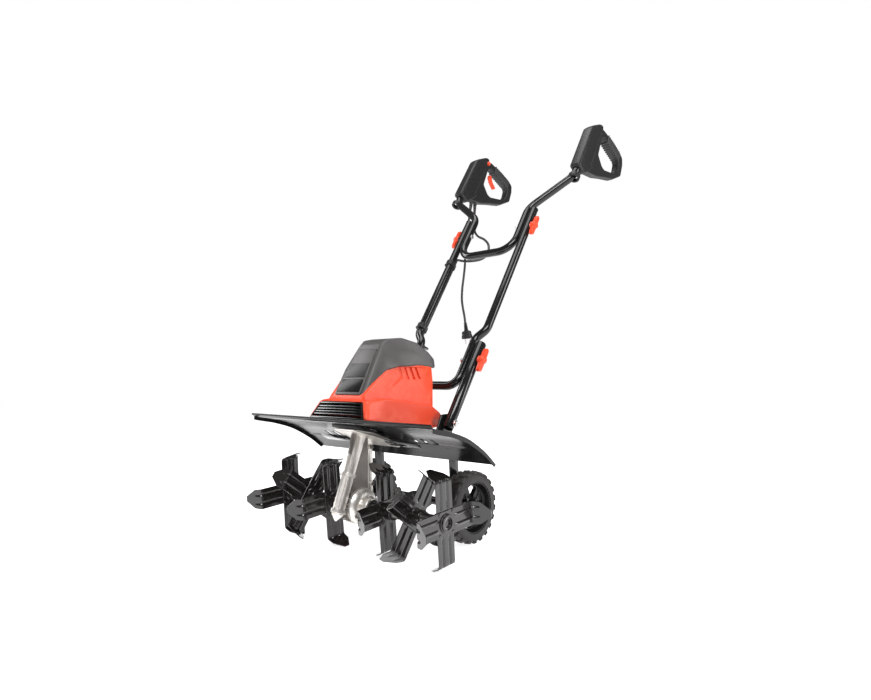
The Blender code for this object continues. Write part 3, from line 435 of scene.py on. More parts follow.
# %% A turned part: a profile spun round its axis
def turned(profile, start, axis, steps=48, ring=False):
    """profile: (distance along the axis, radius). A ring's profile is closed; a solid's starts
    and ends on the axis."""
    start_clean()
    axis = Vector(axis).normalized()
    side = axis.orthogonal().normalized()
    bpy.ops.mesh.primitive_circle_add(vertices=len(profile), fill_type="NOTHING")
    obj = bpy.context.object
    for vertex, (along, radius) in zip(obj.data.vertices, profile):
        vertex.co = Vector(start) + axis * along + side * radius
    pick_all()
    bpy.ops.mesh.spin(steps=steps, angle=2 * math.pi, center=Vector(start), axis=axis)
    bpy.ops.mesh.select_all(action="SELECT")
    bpy.ops.mesh.remove_doubles(threshold=0.00002)
    bpy.ops.mesh.dissolve_degenerate(threshold=0.00001)
    bpy.ops.mesh.delete_loose()
    bpy.ops.mesh.select_all(action="SELECT")
    bpy.ops.mesh.normals_make_consistent(inside=False)
    bpy.ops.object.mode_set(mode="OBJECT")
    return obj


def rod(start, end, radius, chamfer=0.0005, steps=32):
    length = (Vector(end) - Vector(start)).length
    profile = [(0, 0), (0, radius - chamfer), (chamfer, radius), (length - chamfer, radius),
               (length, radius - chamfer), (length, 0)]
    return turned(profile, start, Vector(end) - Vector(start), steps)


# %% A bent tube along rounded corners, and cutting one shape with another
def rounded(points, radius, step=math.radians(9)):
    """The points of a line whose inner corners are replaced by arcs."""
    points = [Vector(p) for p in points]
    route = [points[0]]
    for before, corner, after in zip(points, points[1:], points[2:]):
        a = (before - corner).normalized()
        b = (after - corner).normalized()
        turn = math.pi - a.angle(b)
        if turn < 0.02:
            route.append(corner)
            continue
        centre = corner + (a + b).normalized() * radius / math.cos(turn / 2)
        first = corner + a * radius * math.tan(turn / 2)
        axis = (first - centre).cross(a).normalized()
        count = max(2, round(turn / step))
        for i in range(count + 1):
            spin = Matrix.Rotation(-turn * i / count, 3, axis)
            route.append(centre + spin @ (first - centre))
    route.append(points[-1])
    return route


def tube(route, radius, resolution=8):
    start_clean()
    bpy.ops.curve.primitive_bezier_curve_add()
    obj = bpy.context.object
    obj.data.splines.clear()
    spline = obj.data.splines.new("POLY")
    spline.points.add(len(route) - 1)
    for knot, point in zip(spline.points, route):
        knot.co = (*point, 1)
    obj.data.bevel_depth = radius
    obj.data.bevel_resolution = resolution
    obj.data.use_fill_caps = True
    obj.location = (0, 0, 0)
    return obj


def tube_mesh(route, radius, resolution=8):
    obj = tube(route, radius, resolution)
    only(obj)
    bpy.ops.object.convert(target="MESH")
    square_up(obj)
    return obj


def carve(obj, tool, operation="DIFFERENCE"):
    apply_modifier(obj, "BOOLEAN", operation=operation, solver="EXACT", object=tool)
    bpy.data.objects.remove(tool, do_unlink=True)


def weld_on(obj, *others):
    """Joins other objects into this one, each still its own closed shape."""
    only(obj)
    for other in others:
        other.select_set(True)
    bpy.ops.object.join()
    return obj


def copy_of(obj):
    only(obj)
    bpy.ops.object.duplicate()
    return bpy.context.object


print("helpers ready")

# %% [markdown]
# ## Leads
# A short mains lead with a plug leaves the switch grip and hangs straight
# down. A second lead runs from the switch to the motor: it swings across to
# the handle tube, is clipped down it, and crosses to the back of the hood. A
# lead is flexible, so each is a tube along one smooth line.

# %% A smooth line through chosen points
LEAD_R = 0.0036
TUBE_R = 0.01065


def smooth_line(points, spacing=0.005):
    points = [Vector(p) for p in points]
    fine = []
    for i in range(len(points) - 1):
        before = points[max(i - 1, 0)]
        a = points[i]
        b = points[i + 1]
        after = points[min(i + 2, len(points) - 1)]
        for k in range(12):
            t = k / 12
            fine.append(0.5 * (2 * a + (b - before) * t + (2 * before - 5 * a + 4 * b - after) * t * t
                               + (3 * a - before - 3 * b + after) * t ** 3))
    fine.append(points[-1])
    line = [fine[0]]
    for point in fine[1:-1]:
        if (point - line[-1]).length >= spacing:
            line.append(point)
    line.append(fine[-1])
    return line


def leaving(exit_point, direction, gland):
    """The first points of a lead, straight on past its strain relief."""
    return [exit_point + direction * (gland + d) for d in (0.0003, 0.0203, 0.0320)]


def length_of(line):
    return sum((b - a).length for a, b in zip(line, line[1:]))


mains_exit = place(-0.200, 0.7085, 0.9148)
mains_way = Vector((0, -0.27, -0.96)).normalized()
motor_exit = place(-0.2105, 0.742, 0.9157)
motor_way = Vector((0, -0.12, -0.99)).normalized()
plug_top = place(-0.200, 0.6545, 0.5180)
plug_way = Vector((0, 0.16, -1)).normalized()
hood_exit = place(-0.030, 0.1770, 0.352)
hood_way = Vector((0, 0.94, 0.34)).normalized()
print("leads leave at", [round(v, 3) for v in mains_exit], [round(v, 3) for v in motor_exit])

# %% The plug: a turned body with finger ridges and two pins
top = plug_top + plug_way * 0.0003
plug_profile = [(0, 0), (0, 0.0046), (0.0010, 0.0052)]
for i in range(5):
    at = 0.003 + i * 0.0044
    swell = 0.0052 + i * 0.0004
    plug_profile += [(at, swell), (at + 0.0008, swell - 0.0011), (at + 0.0018, swell - 0.0011),
                     (at + 0.0026, swell + 0.0002)]
plug_profile += [(0.0255, 0.0076), (0.0272, 0.0128), (0.0290, 0.0150), (0.0360, 0.0158),
                 (0.0372, 0.0150), (0.0385, 0.0150), (0.0400, 0.0168), (0.0470, 0.0178),
                 (0.0500, 0.0176), (0.0502, 0)]
plug = turned(plug_profile, top, plug_way, 48)
ridges = [rod(top + plug_way * 0.030 + side * 0.0150, top + plug_way * 0.0465 + side * 0.0178, 0.0014,
              steps=12) for side in (LEFT, -LEFT)]
weld_on(plug, *ridges)
fit_out(plug, "mains_plug_body", black_shell, "top_handle", ["mains_plug"])
pins, other_pin = [rod(top + plug_way * 0.0495 + side * 0.0095, top + plug_way * 0.069 + side * 0.0095,
                       0.0024, 0.0009, 20) for side in (LEFT, -LEFT)]
weld_on(pins, other_pin)
fit_out(pins, "mains_plug_pins", bright_steel, "top_handle")
print("plug made")

# %% The mains lead, hanging from the grip
mains_line = smooth_line(leaving(mains_exit, mains_way, 0.032) + [
    place(-0.200, 0.6790, 0.833), place(-0.200, 0.667, 0.796), place(-0.200, 0.662, 0.752),
    place(-0.200, 0.664, 0.714), place(-0.200, 0.655, 0.668), place(-0.200, 0.645, 0.628),
    place(-0.200, 0.641, 0.592), place(-0.200, 0.645, 0.564), plug_top - plug_way * 0.024, plug_top])
mains = tube(mains_line, LEAD_R, 4)
mains.name = "mains_lead_cord"
mains.data.materials.append(cord_rubber)
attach(mains, "top_handle")
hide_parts("mains_lead")
print("mains lead", round(length_of(mains_line), 3), "m")

# %% The motor lead, in three lengths between its clips
TUBE_OUT = 0.113
side = -TUBE_OUT
held = TUBE_R + LEAD_R + 0.0006
upper_line = smooth_line(leaving(motor_exit, motor_way, 0.032) + [
    place(-0.203, 0.724, 0.836), place(-0.182, 0.700, 0.812), place(-0.150, 0.672, 0.790),
    place(-0.100, 0.634, 0.768), place(-0.062, 0.602, 0.742), place(-0.050, 0.580, 0.712),
    place(-0.058, 0.560, 0.695), place(-0.080, 0.542, 0.690), on_handle(-0.104, 0.553, 0.030),
    on_handle(side, 0.546, 0.0165), on_handle(side, 0.532, held), on_handle(side, 0.515, held)])
upper_lead = tube_mesh(upper_line, LEAD_R, 4)
fit_out(upper_lead, "motor_lead_loop", cord_rubber, "top_handle", ["motor_lead_upper"])
upper_lead.parent = None
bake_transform(upper_lead)
middle_lead = tube_mesh([on_handle(side, 0.511, held), on_handle(side, 0.40, held),
                         on_handle(side, 0.290, held)], LEAD_R, 4)
fit_out(middle_lead, "motor_lead_run", cord_rubber, "mid_handle", ["motor_lead_middle"])
lower_line = smooth_line([
    on_handle(side, 0.286, held), on_handle(side, 0.266, held), on_handle(-0.108, 0.250, 0.0185),
    on_handle(-0.090, 0.232, 0.021), on_handle(-0.071, 0.222, 0.012), on_handle(-0.061, 0.212, -0.006),
    on_handle(-0.054, 0.195, -0.024), place(-0.044, 0.252, 0.403)]
    + leaving(hood_exit, hood_way, 0.0205)[::-1])
lower_lead = tube_mesh(lower_line, LEAD_R, 4)
fit_out(lower_lead, "motor_lead_tail", cord_rubber, "frame", ["motor_lead_lower"])
lower_lead.parent = None
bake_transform(lower_lead)
print("motor lead", round(length_of(upper_line) + 0.22 + length_of(lower_line), 3), "m")

# %% Ribbed strain reliefs where the leads leave
for name, point, way, reach, body, node in (
        ("mains_relief", mains_exit, mains_way, 0.032, "top_handle", "mains_gland"),
        ("motor_relief", motor_exit, motor_way, 0.032, "top_handle", "motor_gland"),
        ("hood_relief", hood_exit - hood_way * 0.004, hood_way, 0.0245, "frame", "housing_gland")):
    profile = [(0, 0), (0, 0.0062)]
    ribs = 6
    for i in range(ribs):
        at = reach * (0.15 + 0.8 * i / ribs)
        thick = 0.0060 - 0.0015 * i / ribs
        profile += [(at, thick), (at + reach * 0.03, thick - 0.0010), (at + reach * 0.07, thick - 0.0010),
                    (at + reach * 0.10, thick - 0.0002)]
    profile += [(reach, 0.0044), (reach, 0)]
    fit_out(turned(profile, point, way, 28), name, cord_rubber, body, [node])
print("strain reliefs made")

# %% [markdown]
# ## Handle
# The handle is three pieces of gloss black tube: two thick stubs bolted to the
# deck, a long U, and a shorter U that opens out to the grips. Each tube is one
# line with rounded corners and a round section, which is how a bending machine
# makes it.

# %% Stub tubes at the deck
STUB_R = 0.0127
for name, sign in (("left", 1), ("right", -1)):
    length = 0.237
    profile = [(length, 0), (length, STUB_R - 0.0045), (length - 0.0012, STUB_R - 0.0018),
               (length - 0.004, STUB_R), (0.001, STUB_R), (0, STUB_R - 0.0005), (0, STUB_R - 0.0015),
               (length - 0.006, STUB_R - 0.0015), (length - 0.003, 0)]
    stub = turned(profile, on_handle(sign * TUBE_OUT, -0.013), ALONG, 48)
    fit_out(stub, "stub_tube_" + name, gloss_paint, "frame", ["lower_tube_" + name])
print("stub tubes made")

# %% The two U-shaped tubes
TUBE_GAP = 0.0008
GRIP_OUT = 0.206
low_x = TUBE_OUT - STUB_R - TUBE_R - TUBE_GAP
high_x = TUBE_OUT - 2 * TUBE_R - TUBE_GAP
middle_line = rounded([on_handle(x, s) for x, s in (
    (TUBE_OUT, 0.680), (TUBE_OUT, 0.264), (low_x, 0.238), (low_x, 0.100),
    (-low_x, 0.100), (-low_x, 0.238), (-TUBE_OUT, 0.264), (-TUBE_OUT, 0.680))], 0.030)
middle_tube = tube_mesh(middle_line, TUBE_R, 10)
fit_out(middle_tube, "middle_tube", gloss_paint, "mid_handle", ["middle_handle"], 50)
upper_line_points = rounded([on_handle(x, s) for x, s in (
    (GRIP_OUT, 0.925), (GRIP_OUT, 0.790), (high_x, 0.690), (high_x, 0.535),
    (-high_x, 0.535), (-high_x, 0.690), (-GRIP_OUT, 0.790), (-GRIP_OUT, 0.925))], 0.048)
upper_tube = tube_mesh(upper_line_points, TUBE_R, 10)
fit_out(upper_tube, "upper_tube", gloss_paint, "top_handle", ["upper_handle"], 50)
print("tube length", round(length_of(middle_line) + length_of(upper_line_points), 2), "m")

# %% Plastic end plugs in the middle tube
for name, sign in (("left", 1), ("right", -1)):
    cap = turned([(0, 0), (0, TUBE_R + 0.0002), (0.0012, TUBE_R + 0.0004), (0.0026, TUBE_R - 0.001),
                  (0.0034, TUBE_R - 0.004), (0.0036, 0)], on_handle(sign * TUBE_OUT, 0.6801), ALONG, 36)
    fit_out(cap, "tube_end_plug_" + name, black_shell, "mid_handle")
print("end plugs made")

# %% [markdown]
# Wing knobs clamp the folds. A knob is a turned hub with a wing across it, on
# a screw that passes through both tubes to a nut on the inside. The wing is a
# slab with well rounded edges, so that it looks moulded, not cut.

# %% Wing knobs
def wing_knob(name, sign, along, wing_x, head_x, body, node):
    centre = on_handle(0, along)
    out = LEFT * sign
    hub = turned([(0, 0), (0, 0.0095), (0.0015, 0.0108), (0.0070, 0.0112), (0.0140, 0.0100),
                  (0.0170, 0.0080), (0.0185, 0.0050), (0.0190, 0)], centre + out * wing_x, out, 40)
    start_clean()
    bpy.ops.mesh.primitive_circle_add(vertices=16, fill_type="NGON")
    wing = bpy.context.object
    for i, vertex in enumerate(wing.data.vertices):
        angle = 2 * math.pi * i / 16
        long_way = 0.0315 * math.copysign(abs(math.cos(angle)) ** 0.55, math.cos(angle))
        wide_way = 0.0062 * math.copysign(abs(math.sin(angle)) ** 0.60, math.sin(angle))
        wide_way *= 1.0 + 0.35 * abs(math.cos(angle)) ** 3
        vertex.co = centre + out * (wing_x + 0.0048) + ALONG * long_way + BEHIND * wide_way
    pull(out * 0.0095)
    square_up(wing)
    carve(hub, wing, "UNION")
    soften(hub, 0.0014, 3, 30)
    fit_out(hub, name, red_shell, body, [node])
    screw = rod(centre + out * (head_x - 0.0010), centre + out * (wing_x + 0.002), 0.0029, steps=20)
    nut = turned([(0, 0), (0, 0.0052), (0.0010, 0.0064), (0.0042, 0.0064), (0.0052, 0.0060),
                  (0.0052, 0)], centre + out * (head_x - 0.0050), out, 6)
    washer = turned([(0, 0.0030), (0, 0.0078), (0.0010, 0.0080), (0.0010, 0.0030)],
                    centre + out * (wing_x - 0.0012), out, 32)
    weld_on(screw, nut, washer)
    fit_out(screw, name + "_screw", bright_steel, body)


for name, sign in (("left", 1), ("right", -1)):
    short = "l" if sign > 0 else "r"
    wing_knob("wing_knob_low_" + name, sign, 0.173, TUBE_OUT + STUB_R + 0.0006, low_x - TUBE_R - 0.0005,
              "knob_low_" + short, "knob_lower_" + name)
    wing_knob("wing_knob_high_" + name, sign, 0.6156, TUBE_OUT + TUBE_R + 0.0006, high_x - TUBE_R - 0.0005,
              "knob_up_" + short, "knob_upper_" + name)
print("knobs made")

# %% Lead clips: a split collar round the tube with an eye for the lead
for name, along in (("upper", 0.515), ("lower", 0.288)):
    at = on_handle(side, along - 0.008)
    collar = turned([(0, TUBE_R + 0.0002), (0, TUBE_R + 0.0026), (0.0012, TUBE_R + 0.0036),
                     (0.0148, TUBE_R + 0.0036), (0.0160, TUBE_R + 0.0026), (0.0160, TUBE_R + 0.0002)],
                    at, ALONG, 40)
    eye = turned([(0, LEAD_R + 0.0002), (0, LEAD_R + 0.0018), (0.0008, LEAD_R + 0.0024),
                  (0.0148, LEAD_R + 0.0024), (0.0156, LEAD_R + 0.0018), (0.0156, LEAD_R + 0.0002)],
                 on_handle(side, along - 0.0078, held), ALONG, 28)
    lug = rod(on_handle(side - 0.0205, along), on_handle(side - 0.0125, along), 0.0045, 0.001, 20)
    weld_on(collar, eye, lug)
    fit_out(collar, "lead_clip_" + name + "_collar", black_shell, "mid_handle", ["lead_clip_" + name])
print("clips made")

# %% [markdown]
# ## Brackets and wheels
# Flat steel plates tie the stub tubes to the deck, and a swinging carrier below
# them holds the axle. The plates are cut to an outline and their edges broken;
# the bolts are turned, with six-sided heads.

# %% Bolts and plates at the deck
def bolt(start, way, length, radius, head, name, body, nodes=(), paint=None):
    way = Vector(way).normalized()
    shank = rod(start, start + way * length, radius, steps=24)
    nut = turned([(0, 0), (0, head - 0.001), (0.0008, head), (0.0040, head), (0.0050, head - 0.001),
                  (0.0050, 0)], start - way * 0.0004, way, 6)
    cap = turned([(0, 0), (0, head + 0.0016), (0.0010, head + 0.0018), (0.0012, head - 0.0004),
                  (0.0048, head - 0.0004), (0.0060, head - 0.0018), (0.0060, 0)],
                 start + way * (length - 0.0056), way, 36)
    socket = rod(start + way * (length - 0.002), start + way * (length + 0.003), head * 0.42, steps=6)
    carve(cap, socket)
    weld_on(shank, nut, cap)
    return fit_out(shank, name, paint or bright_steel, body, nodes)


for name, sign in (("left", 1), ("right", -1)):
    plate = slab([(0.118, 0.226), (0.150, 0.207), (0.195, 0.207), (0.206, 0.222), (0.206, 0.272),
                  (0.196, 0.282), (0.168, 0.282), (0.150, 0.248), (0.118, 0.243)],
                 sign * 0.0952, sign * 0.0992)
    soften(plate, 0.0012, 2)
    fit_out(plate, "bracket_plate_" + name, gloss_paint, "frame", ["handle_bracket_" + name])
    bolt(place(sign * 0.0888, 0.180, 0.262), LEFT * sign, 0.0465, 0.004, 0.0075,
         "deck_bolt_" + name, "frame", ["bracket_bolt_" + name])
    bolt(place(sign * 0.0908, 0.180, 0.222), LEFT * sign, 0.0375, 0.005, 0.0080,
         "carrier_bolt_" + name, "frame", ["carrier_pin_" + name], dark_steel)
beam = rod(place(-0.0949, 0.138, 0.2335), place(0.0949, 0.138, 0.2335), 0.0095, 0.0004, 40)
fit_out(beam, "bracket_beam_tube", gloss_paint, "frame", ["bracket_beam"])
print("brackets made")

# %% The wheel carrier and its axle
AXLE_Y = 0.182
axle_z = 0.080 * math.cos(math.pi / 32)
WHEEL_IN = 0.137
strut_outline = [(0.180 + 0.0115 * math.cos(math.pi * i / 12), 0.222 + 0.0115 * math.sin(math.pi * i / 12))
                 for i in range(13)]
strut_outline += [(0.165, 0.200)]
strut_outline += [(AXLE_Y - 0.015 * math.cos(math.pi * i / 12), axle_z - 0.015 * math.sin(math.pi * i / 12))
                  for i in range(13)]
strut_outline += [(0.195, 0.200)]
carrier = slab(strut_outline, 0.118, 0.122)
soften(carrier, 0.0010, 2)
far_strut = slab(strut_outline, -0.122, -0.118)
soften(far_strut, 0.0010, 2)
spacer = rod(place(-0.1195, AXLE_Y, axle_z), place(0.1195, AXLE_Y, axle_z), 0.0095, 0.0004, 36)
weld_on(carrier, far_strut, spacer)
fit_out(carrier, "carrier_frame", gloss_paint, "carrier", ["wheel_carrier"])
axle = turned([(0, 0), (0, 0.0070), (0.0015, 0.0088), (0.0065, 0.0090), (0.0066, 0.0058),
               (0.3654, 0.0058), (0.3655, 0.0090), (0.3705, 0.0088), (0.3720, 0.0070), (0.3720, 0)],
              place(-0.186, AXLE_Y, axle_z), LEFT, 36)
fit_out(axle, "axle_with_caps", black_shell, "carrier", ["wheel_axle"])
print("carrier made")

# %% [markdown]
# Each wheel is a moulded disc with a thin tread. The rim is a turned dish, cut
# through by windows that leave curved spokes, and the tread has blocks all
# round. One block of each of its two rows is shaped, then copied round the wheel.

# %% The rim: a turned dish with six windows
def wheel(name, sign):
    centre = place(sign * WHEEL_IN, AXLE_Y, axle_z)
    out = LEFT * sign
    rim = turned([(0.0005, 0.0063), (0.0005, 0.0150), (0.0060, 0.0165), (0.0120, 0.0180),
                  (0.0135, 0.0250), (0.0140, 0.0480), (0.0090, 0.0520), (0.0015, 0.0530),
                  (0.0015, 0.0560), (0.0395, 0.0560), (0.0395, 0.0530), (0.0300, 0.0515),
                  (0.0235, 0.0480), (0.0245, 0.0250), (0.0270, 0.0180), (0.0385, 0.0155),
                  (0.0400, 0.0140), (0.0400, 0.0063)], centre, out, 72)
    for i in range(6):
        angle = math.pi / 3 * i + 0.3
        start_clean()
        bpy.ops.mesh.primitive_circle_add(vertices=8, fill_type="NGON")
        window = bpy.context.object
        corners = [(0.0215, -0.26), (0.0330, -0.36), (0.0455, -0.40), (0.0470, -0.20),
                   (0.0470, 0.20), (0.0455, 0.34), (0.0330, 0.22), (0.0215, 0.10)]
        for vertex, (reach, swing) in zip(window.data.vertices, corners):
            spoke = angle + swing
            vertex.co = centre + Vector((0, math.cos(spoke), math.sin(spoke))) * reach
        pull(out * 0.045)
        square_up(window)
        soften(window, 0.003, 3, 50)
        carve(rim, window)
    soften(rim, 0.0006, 2, 40)
    fit_out(rim, "rim_disc_" + name, guard_paint, "wheel_" + name, ["rim_" + name])


# %% The tyre: a crowned ring with blocks round it
LUGS = 22


def tyre(name, sign):
    centre = place(sign * WHEEL_IN, AXLE_Y, axle_z)
    out = LEFT * sign
    band = turned([(0.0, 0.0563), (0.0, 0.0680), (0.0025, 0.0730), (0.0070, 0.0762), (0.0340, 0.0762),
                   (0.0385, 0.0730), (0.0410, 0.0680), (0.0410, 0.0563)], centre, out, 80)
    blocks = []
    for row, (start, skew) in enumerate(((0.0015, 0.10), (0.0225, -0.10))):
        start_clean()
        bpy.ops.mesh.primitive_cube_add(size=1)
        block = bpy.context.object
        for vertex in block.data.vertices:
            across = start + 0.0085 + vertex.co.x * 0.017
            taper = 0.0052 if vertex.co.z > 0 else 0.0066
            swing = vertex.co.y * 2 * taper / 0.078 + vertex.co.x * skew * 1.2 + row * math.pi / LUGS
            reach = 0.0797 if vertex.co.z > 0 else 0.0730
            edge = 0.0020 if (vertex.co.x > 0) == (row == 1) and vertex.co.z > 0 else 0.0
            vertex.co = (centre + out * across
                         + Vector((0, math.cos(swing), math.sin(swing))) * (reach - edge))
        square_up(block)
        soften(block, 0.0008, 2)
        blocks.append(block)
    pieces = []
    for block in blocks:
        for i in range(LUGS):
            lug = copy_of(block)
            turn = Matrix.Rotation(2 * math.pi * i / LUGS, 4, "X")
            shift = Matrix.Translation(centre)
            lug.data.transform(shift @ turn @ shift.inverted())
            pieces.append(lug)
        bpy.data.objects.remove(block, do_unlink=True)
    weld_on(band, *pieces)
    fit_out(band, "tyre_tread_" + name, tyre_rubber, "wheel_" + name, ["tyre_" + name])


for name, sign in (("left", 1), ("right", -1)):
    wheel(name, sign)
    tyre(name, sign)
print("wheels made")

# %% [markdown]
# ## Tines
# A tine star is two bent straps crossed on a sleeve. Each strap is pressed from
# sheet with two long beads that stiffen it, and its pointed tips are bent over,
# so that the star cuts a wide slot. A grid is shaped into one strap, given its
# thickness, and copied for the crossing strap.

# %% One pressed strap with beads and pointed, bent tips
HALF_WIDTH = 0.0235
BEAD_AT = 0.0098
BEND_AT = 0.0785
BEND_RUN = 0.006
TIP = 0.042
TIP_TURN = math.radians(68)
TAPER_AT = 0.020


def strap(x, tip_side, angle, offset):
    """A grid bent into one strap, row by row: flat, round the bend, then the tapering tip."""
    start_clean()
    bpy.ops.mesh.primitive_grid_add(x_subdivisions=32, y_subdivisions=56, size=2)
    obj = bpy.context.object
    for vertex in obj.data.vertices:
        across = vertex.co.x
        run = vertex.co.y
        along = abs(run) * (BEND_AT + TIP)
        past = max(0.0, along - BEND_AT)
        half = HALF_WIDTH
        if past > 0:
            half = HALF_WIDTH * (1 - 0.07 * min(1, past / TAPER_AT))
            if past > TAPER_AT:
                half = 0.02186 - (0.02186 - 0.0062) * (past - TAPER_AT) / (TIP - TAPER_AT)
        wide = across * half
        near = abs(abs(wide) - BEAD_AT) / 0.0036
        height = 0.0024 * max(0.0, math.cos(min(1.0, near) * math.pi / 2))
        height *= min(1.0, max(0.0, (along - 0.024) / 0.006)) * min(1.0, max(0.0, (0.098 - along) / 0.008))
        theta = TIP_TURN * min(1.0, past / BEND_RUN)
        radius = BEND_RUN / TIP_TURN
        if past <= 0:
            out = along
            aside = 0.0
        elif past < BEND_RUN:
            out = BEND_AT + radius * math.sin(theta)
            aside = radius * (1 - math.cos(theta))
        else:
            out = BEND_AT + radius * math.sin(TIP_TURN) + (past - BEND_RUN) * math.cos(TIP_TURN)
            aside = radius * (1 - math.cos(TIP_TURN)) + (past - BEND_RUN) * math.sin(TIP_TURN)
        sign = 1 if run >= 0 else -1
        radial = sign * (out + height * -math.sin(theta))
        sideways = tip_side * aside + tip_side * height * math.cos(theta)
        vertex.co = Vector((offset + sideways, wide, radial))
    obj.data.transform(Matrix.Rotation(angle, 4, "X"))
    obj.data.transform(Matrix.Translation(place(x, 0, SHAFT_HEIGHT)))
    apply_modifier(obj, "SOLIDIFY", thickness=0.0023, offset=0.0)
    soften(obj, 0.0004, 1, 50)
    return obj


def star(number, x, tip_side, phase):
    upright = strap(x, tip_side, phase, 0.0012 * tip_side)
    level = strap(x, -tip_side, phase + math.pi / 2, -0.0012 * tip_side)
    reach = 0.0220 if abs(x) < 0.2 else 0.0075
    sleeve = turned([(-0.0220, 0.0120), (-0.0220, 0.0158), (-0.0212, 0.0165), (-0.0045, 0.0165),
                     (-0.0040, 0.0188), (0.0040, 0.0188), (0.0045, 0.0165), (reach - 0.0008, 0.0165),
                     (reach, 0.0158), (reach, 0.0120)], place(x, 0, SHAFT_HEIGHT),
                    LEFT * math.copysign(1, x), 48)
    rivets = []
    for i in range(4):
        around = phase + math.pi / 4 + math.pi / 2 * i
        spot = place(x, 0.0272 * math.cos(around), SHAFT_HEIGHT + 0.0272 * math.sin(around))
        rivets.append(turned([(-0.0036, 0), (-0.0036, 0.0022), (-0.0026, 0.0034), (0.0026, 0.0034),
                              (0.0036, 0.0022), (0.0036, 0)], spot, LEFT, 16))
    weld_on(upright, level, sleeve, *rivets)
    fit_out(upright, "star_%d" % number, tine_paint, "tines", ["tine_star_%d" % number], 38)


star_number = 1
for sign in (1, -1):
    for x, phase in ((0.243, 1.5), (0.164, -38), (0.086, 3)):
        star(star_number, sign * x, -sign, math.radians(phase))
        star_number += 1
print(star_number - 1, "stars")

# %% The tine shaft, hollow at its ends, and the pins through the outer sleeves
shaft = turned([(0.000, 0.0090), (0.0006, 0.0113), (0.0012, 0.0115), (0.4968, 0.0115), (0.4974, 0.0113),
                (0.4980, 0.0090), (0.4820, 0.0088), (0.4815, 0), (0.0165, 0), (0.0160, 0.0088)],
               place(-0.249, 0, SHAFT_HEIGHT), LEFT, 40)
fit_out(shaft, "drive_shaft", dark_steel, "tines", ["tine_shaft"])
for name, sign in (("left", 1), ("right", -1)):
    at = sign * 0.230
    pin = rod(place(at, 0, SHAFT_HEIGHT - 0.0225), place(at, 0, SHAFT_HEIGHT + 0.0235), 0.0024, steps=20)
    head = turned([(0, 0), (0, 0.0040), (0.0012, 0.0046), (0.0028, 0.0040), (0.0034, 0)],
                  place(at, 0, SHAFT_HEIGHT - 0.0240), (0, 0, 1), 24)
    ring_section = [(math.cos(math.pi * i / 5) * 0.0008, 0.0062 + math.sin(math.pi * i / 5) * 0.0008)
                    for i in range(10)]
    ring = turned(ring_section, place(at, 0, SHAFT_HEIGHT + 0.0195), (0.3, 1, 0), 32)
    weld_on(pin, head, ring)
    fit_out(pin, "cotter_pin_" + name, bright_steel, "tines", ["retaining_pin_" + name])
print("shaft made")

# %% [markdown]
# ## Gear case
# The worm gear runs in a cast case that reaches from the deck down to the tine
# shaft. It is two halves bolted on the centre line: a faceted column in front
# that ends in a point to part the soil, a round housing for the worm wheel, and
# a thin web between them. Castings have no sharp corners, so each shape is
# softened before its bolts are added.

# %% The two halves: a column, a thin web with a back rib, and the round wheel housing
COLUMN_FOOT = place(0, -0.0659, 0.0802)
COLUMN_WAY = Vector((0, 0.3996, 0.9167)).normalized()
web_outline = [(0.0000, 0.2890), (0.0440, 0.2890), (0.0420, 0.2580), (0.0350, 0.2340), (0.0320, 0.1720),
               (0.0370, 0.1380), (0.0395, 0.1100), (0.0250, 0.0750), (-0.0100, 0.0640), (-0.0400, 0.0760),
               (-0.0590, 0.0960), (-0.0500, 0.1200)]


def case_half(name, sign):
    column = turned([(0.0000, 0), (0.0000, 0.0015), (0.0090, 0.0090), (0.0130, 0.0126), (0.0160, 0.0130),
                     (0.0166, 0.0162), (0.0240, 0.0162), (0.0246, 0.0134), (0.0930, 0.0134),
                     (0.0936, 0.0170), (0.1010, 0.0170), (0.1016, 0.0136), (0.1700, 0.0140),
                     (0.1850, 0.0150), (0.2150, 0.0160), (0.2150, 0)], COLUMN_FOOT, COLUMN_WAY, 12)
    housing = turned([(-0.0230, 0), (-0.0230, 0.0270), (-0.0190, 0.0345), (-0.0140, 0.0385),
                      (0.0140, 0.0385), (0.0190, 0.0345), (0.0230, 0.0270), (0.0230, 0)],
                     place(0, 0, SHAFT_HEIGHT), LEFT, 40)
    carve(column, housing, "UNION")
    boss = turned([(0.010, 0), (0.010, 0.0235), (0.0330, 0.0228), (0.0400, 0.0215), (0.0425, 0.0200),
                   (0.0435, 0.0180), (0.0435, 0)], place(0, 0, SHAFT_HEIGHT), LEFT * sign, 40)
    carve(column, boss, "UNION")
    front_way = Vector((0, -COLUMN_WAY.z, COLUMN_WAY.y))
    groove_at = COLUMN_FOOT + LEFT * sign * 0.0100 + front_way * 0.0088
    for low, high in ((0.0270, 0.0905), (0.1035, 0.1800)):
        groove = rod(groove_at + COLUMN_WAY * low, groove_at + COLUMN_WAY * high, 0.0022, steps=12)
        carve(column, groove)
    back_rib = rod(place(0, 0.0350, 0.2780), place(0, 0.0290, 0.1180), 0.0092, 0.002, 14)
    carve(column, back_rib, "UNION")
    other_side = slab([(-0.2, -0.1), (0.2, -0.1), (0.2, 0.4), (-0.2, 0.4)], -sign * 0.10, sign * 0.0001)
    carve(column, other_side)
    bore = rod(place(-0.08, 0, SHAFT_HEIGHT), place(0.08, 0, SHAFT_HEIGHT), 0.0121, steps=36)
    carve(column, bore)
    soften(column, 0.0010, 2, 33)
    fit_out(column, "case_half_" + name, casting, "frame", ["gear_case_" + name], 30)


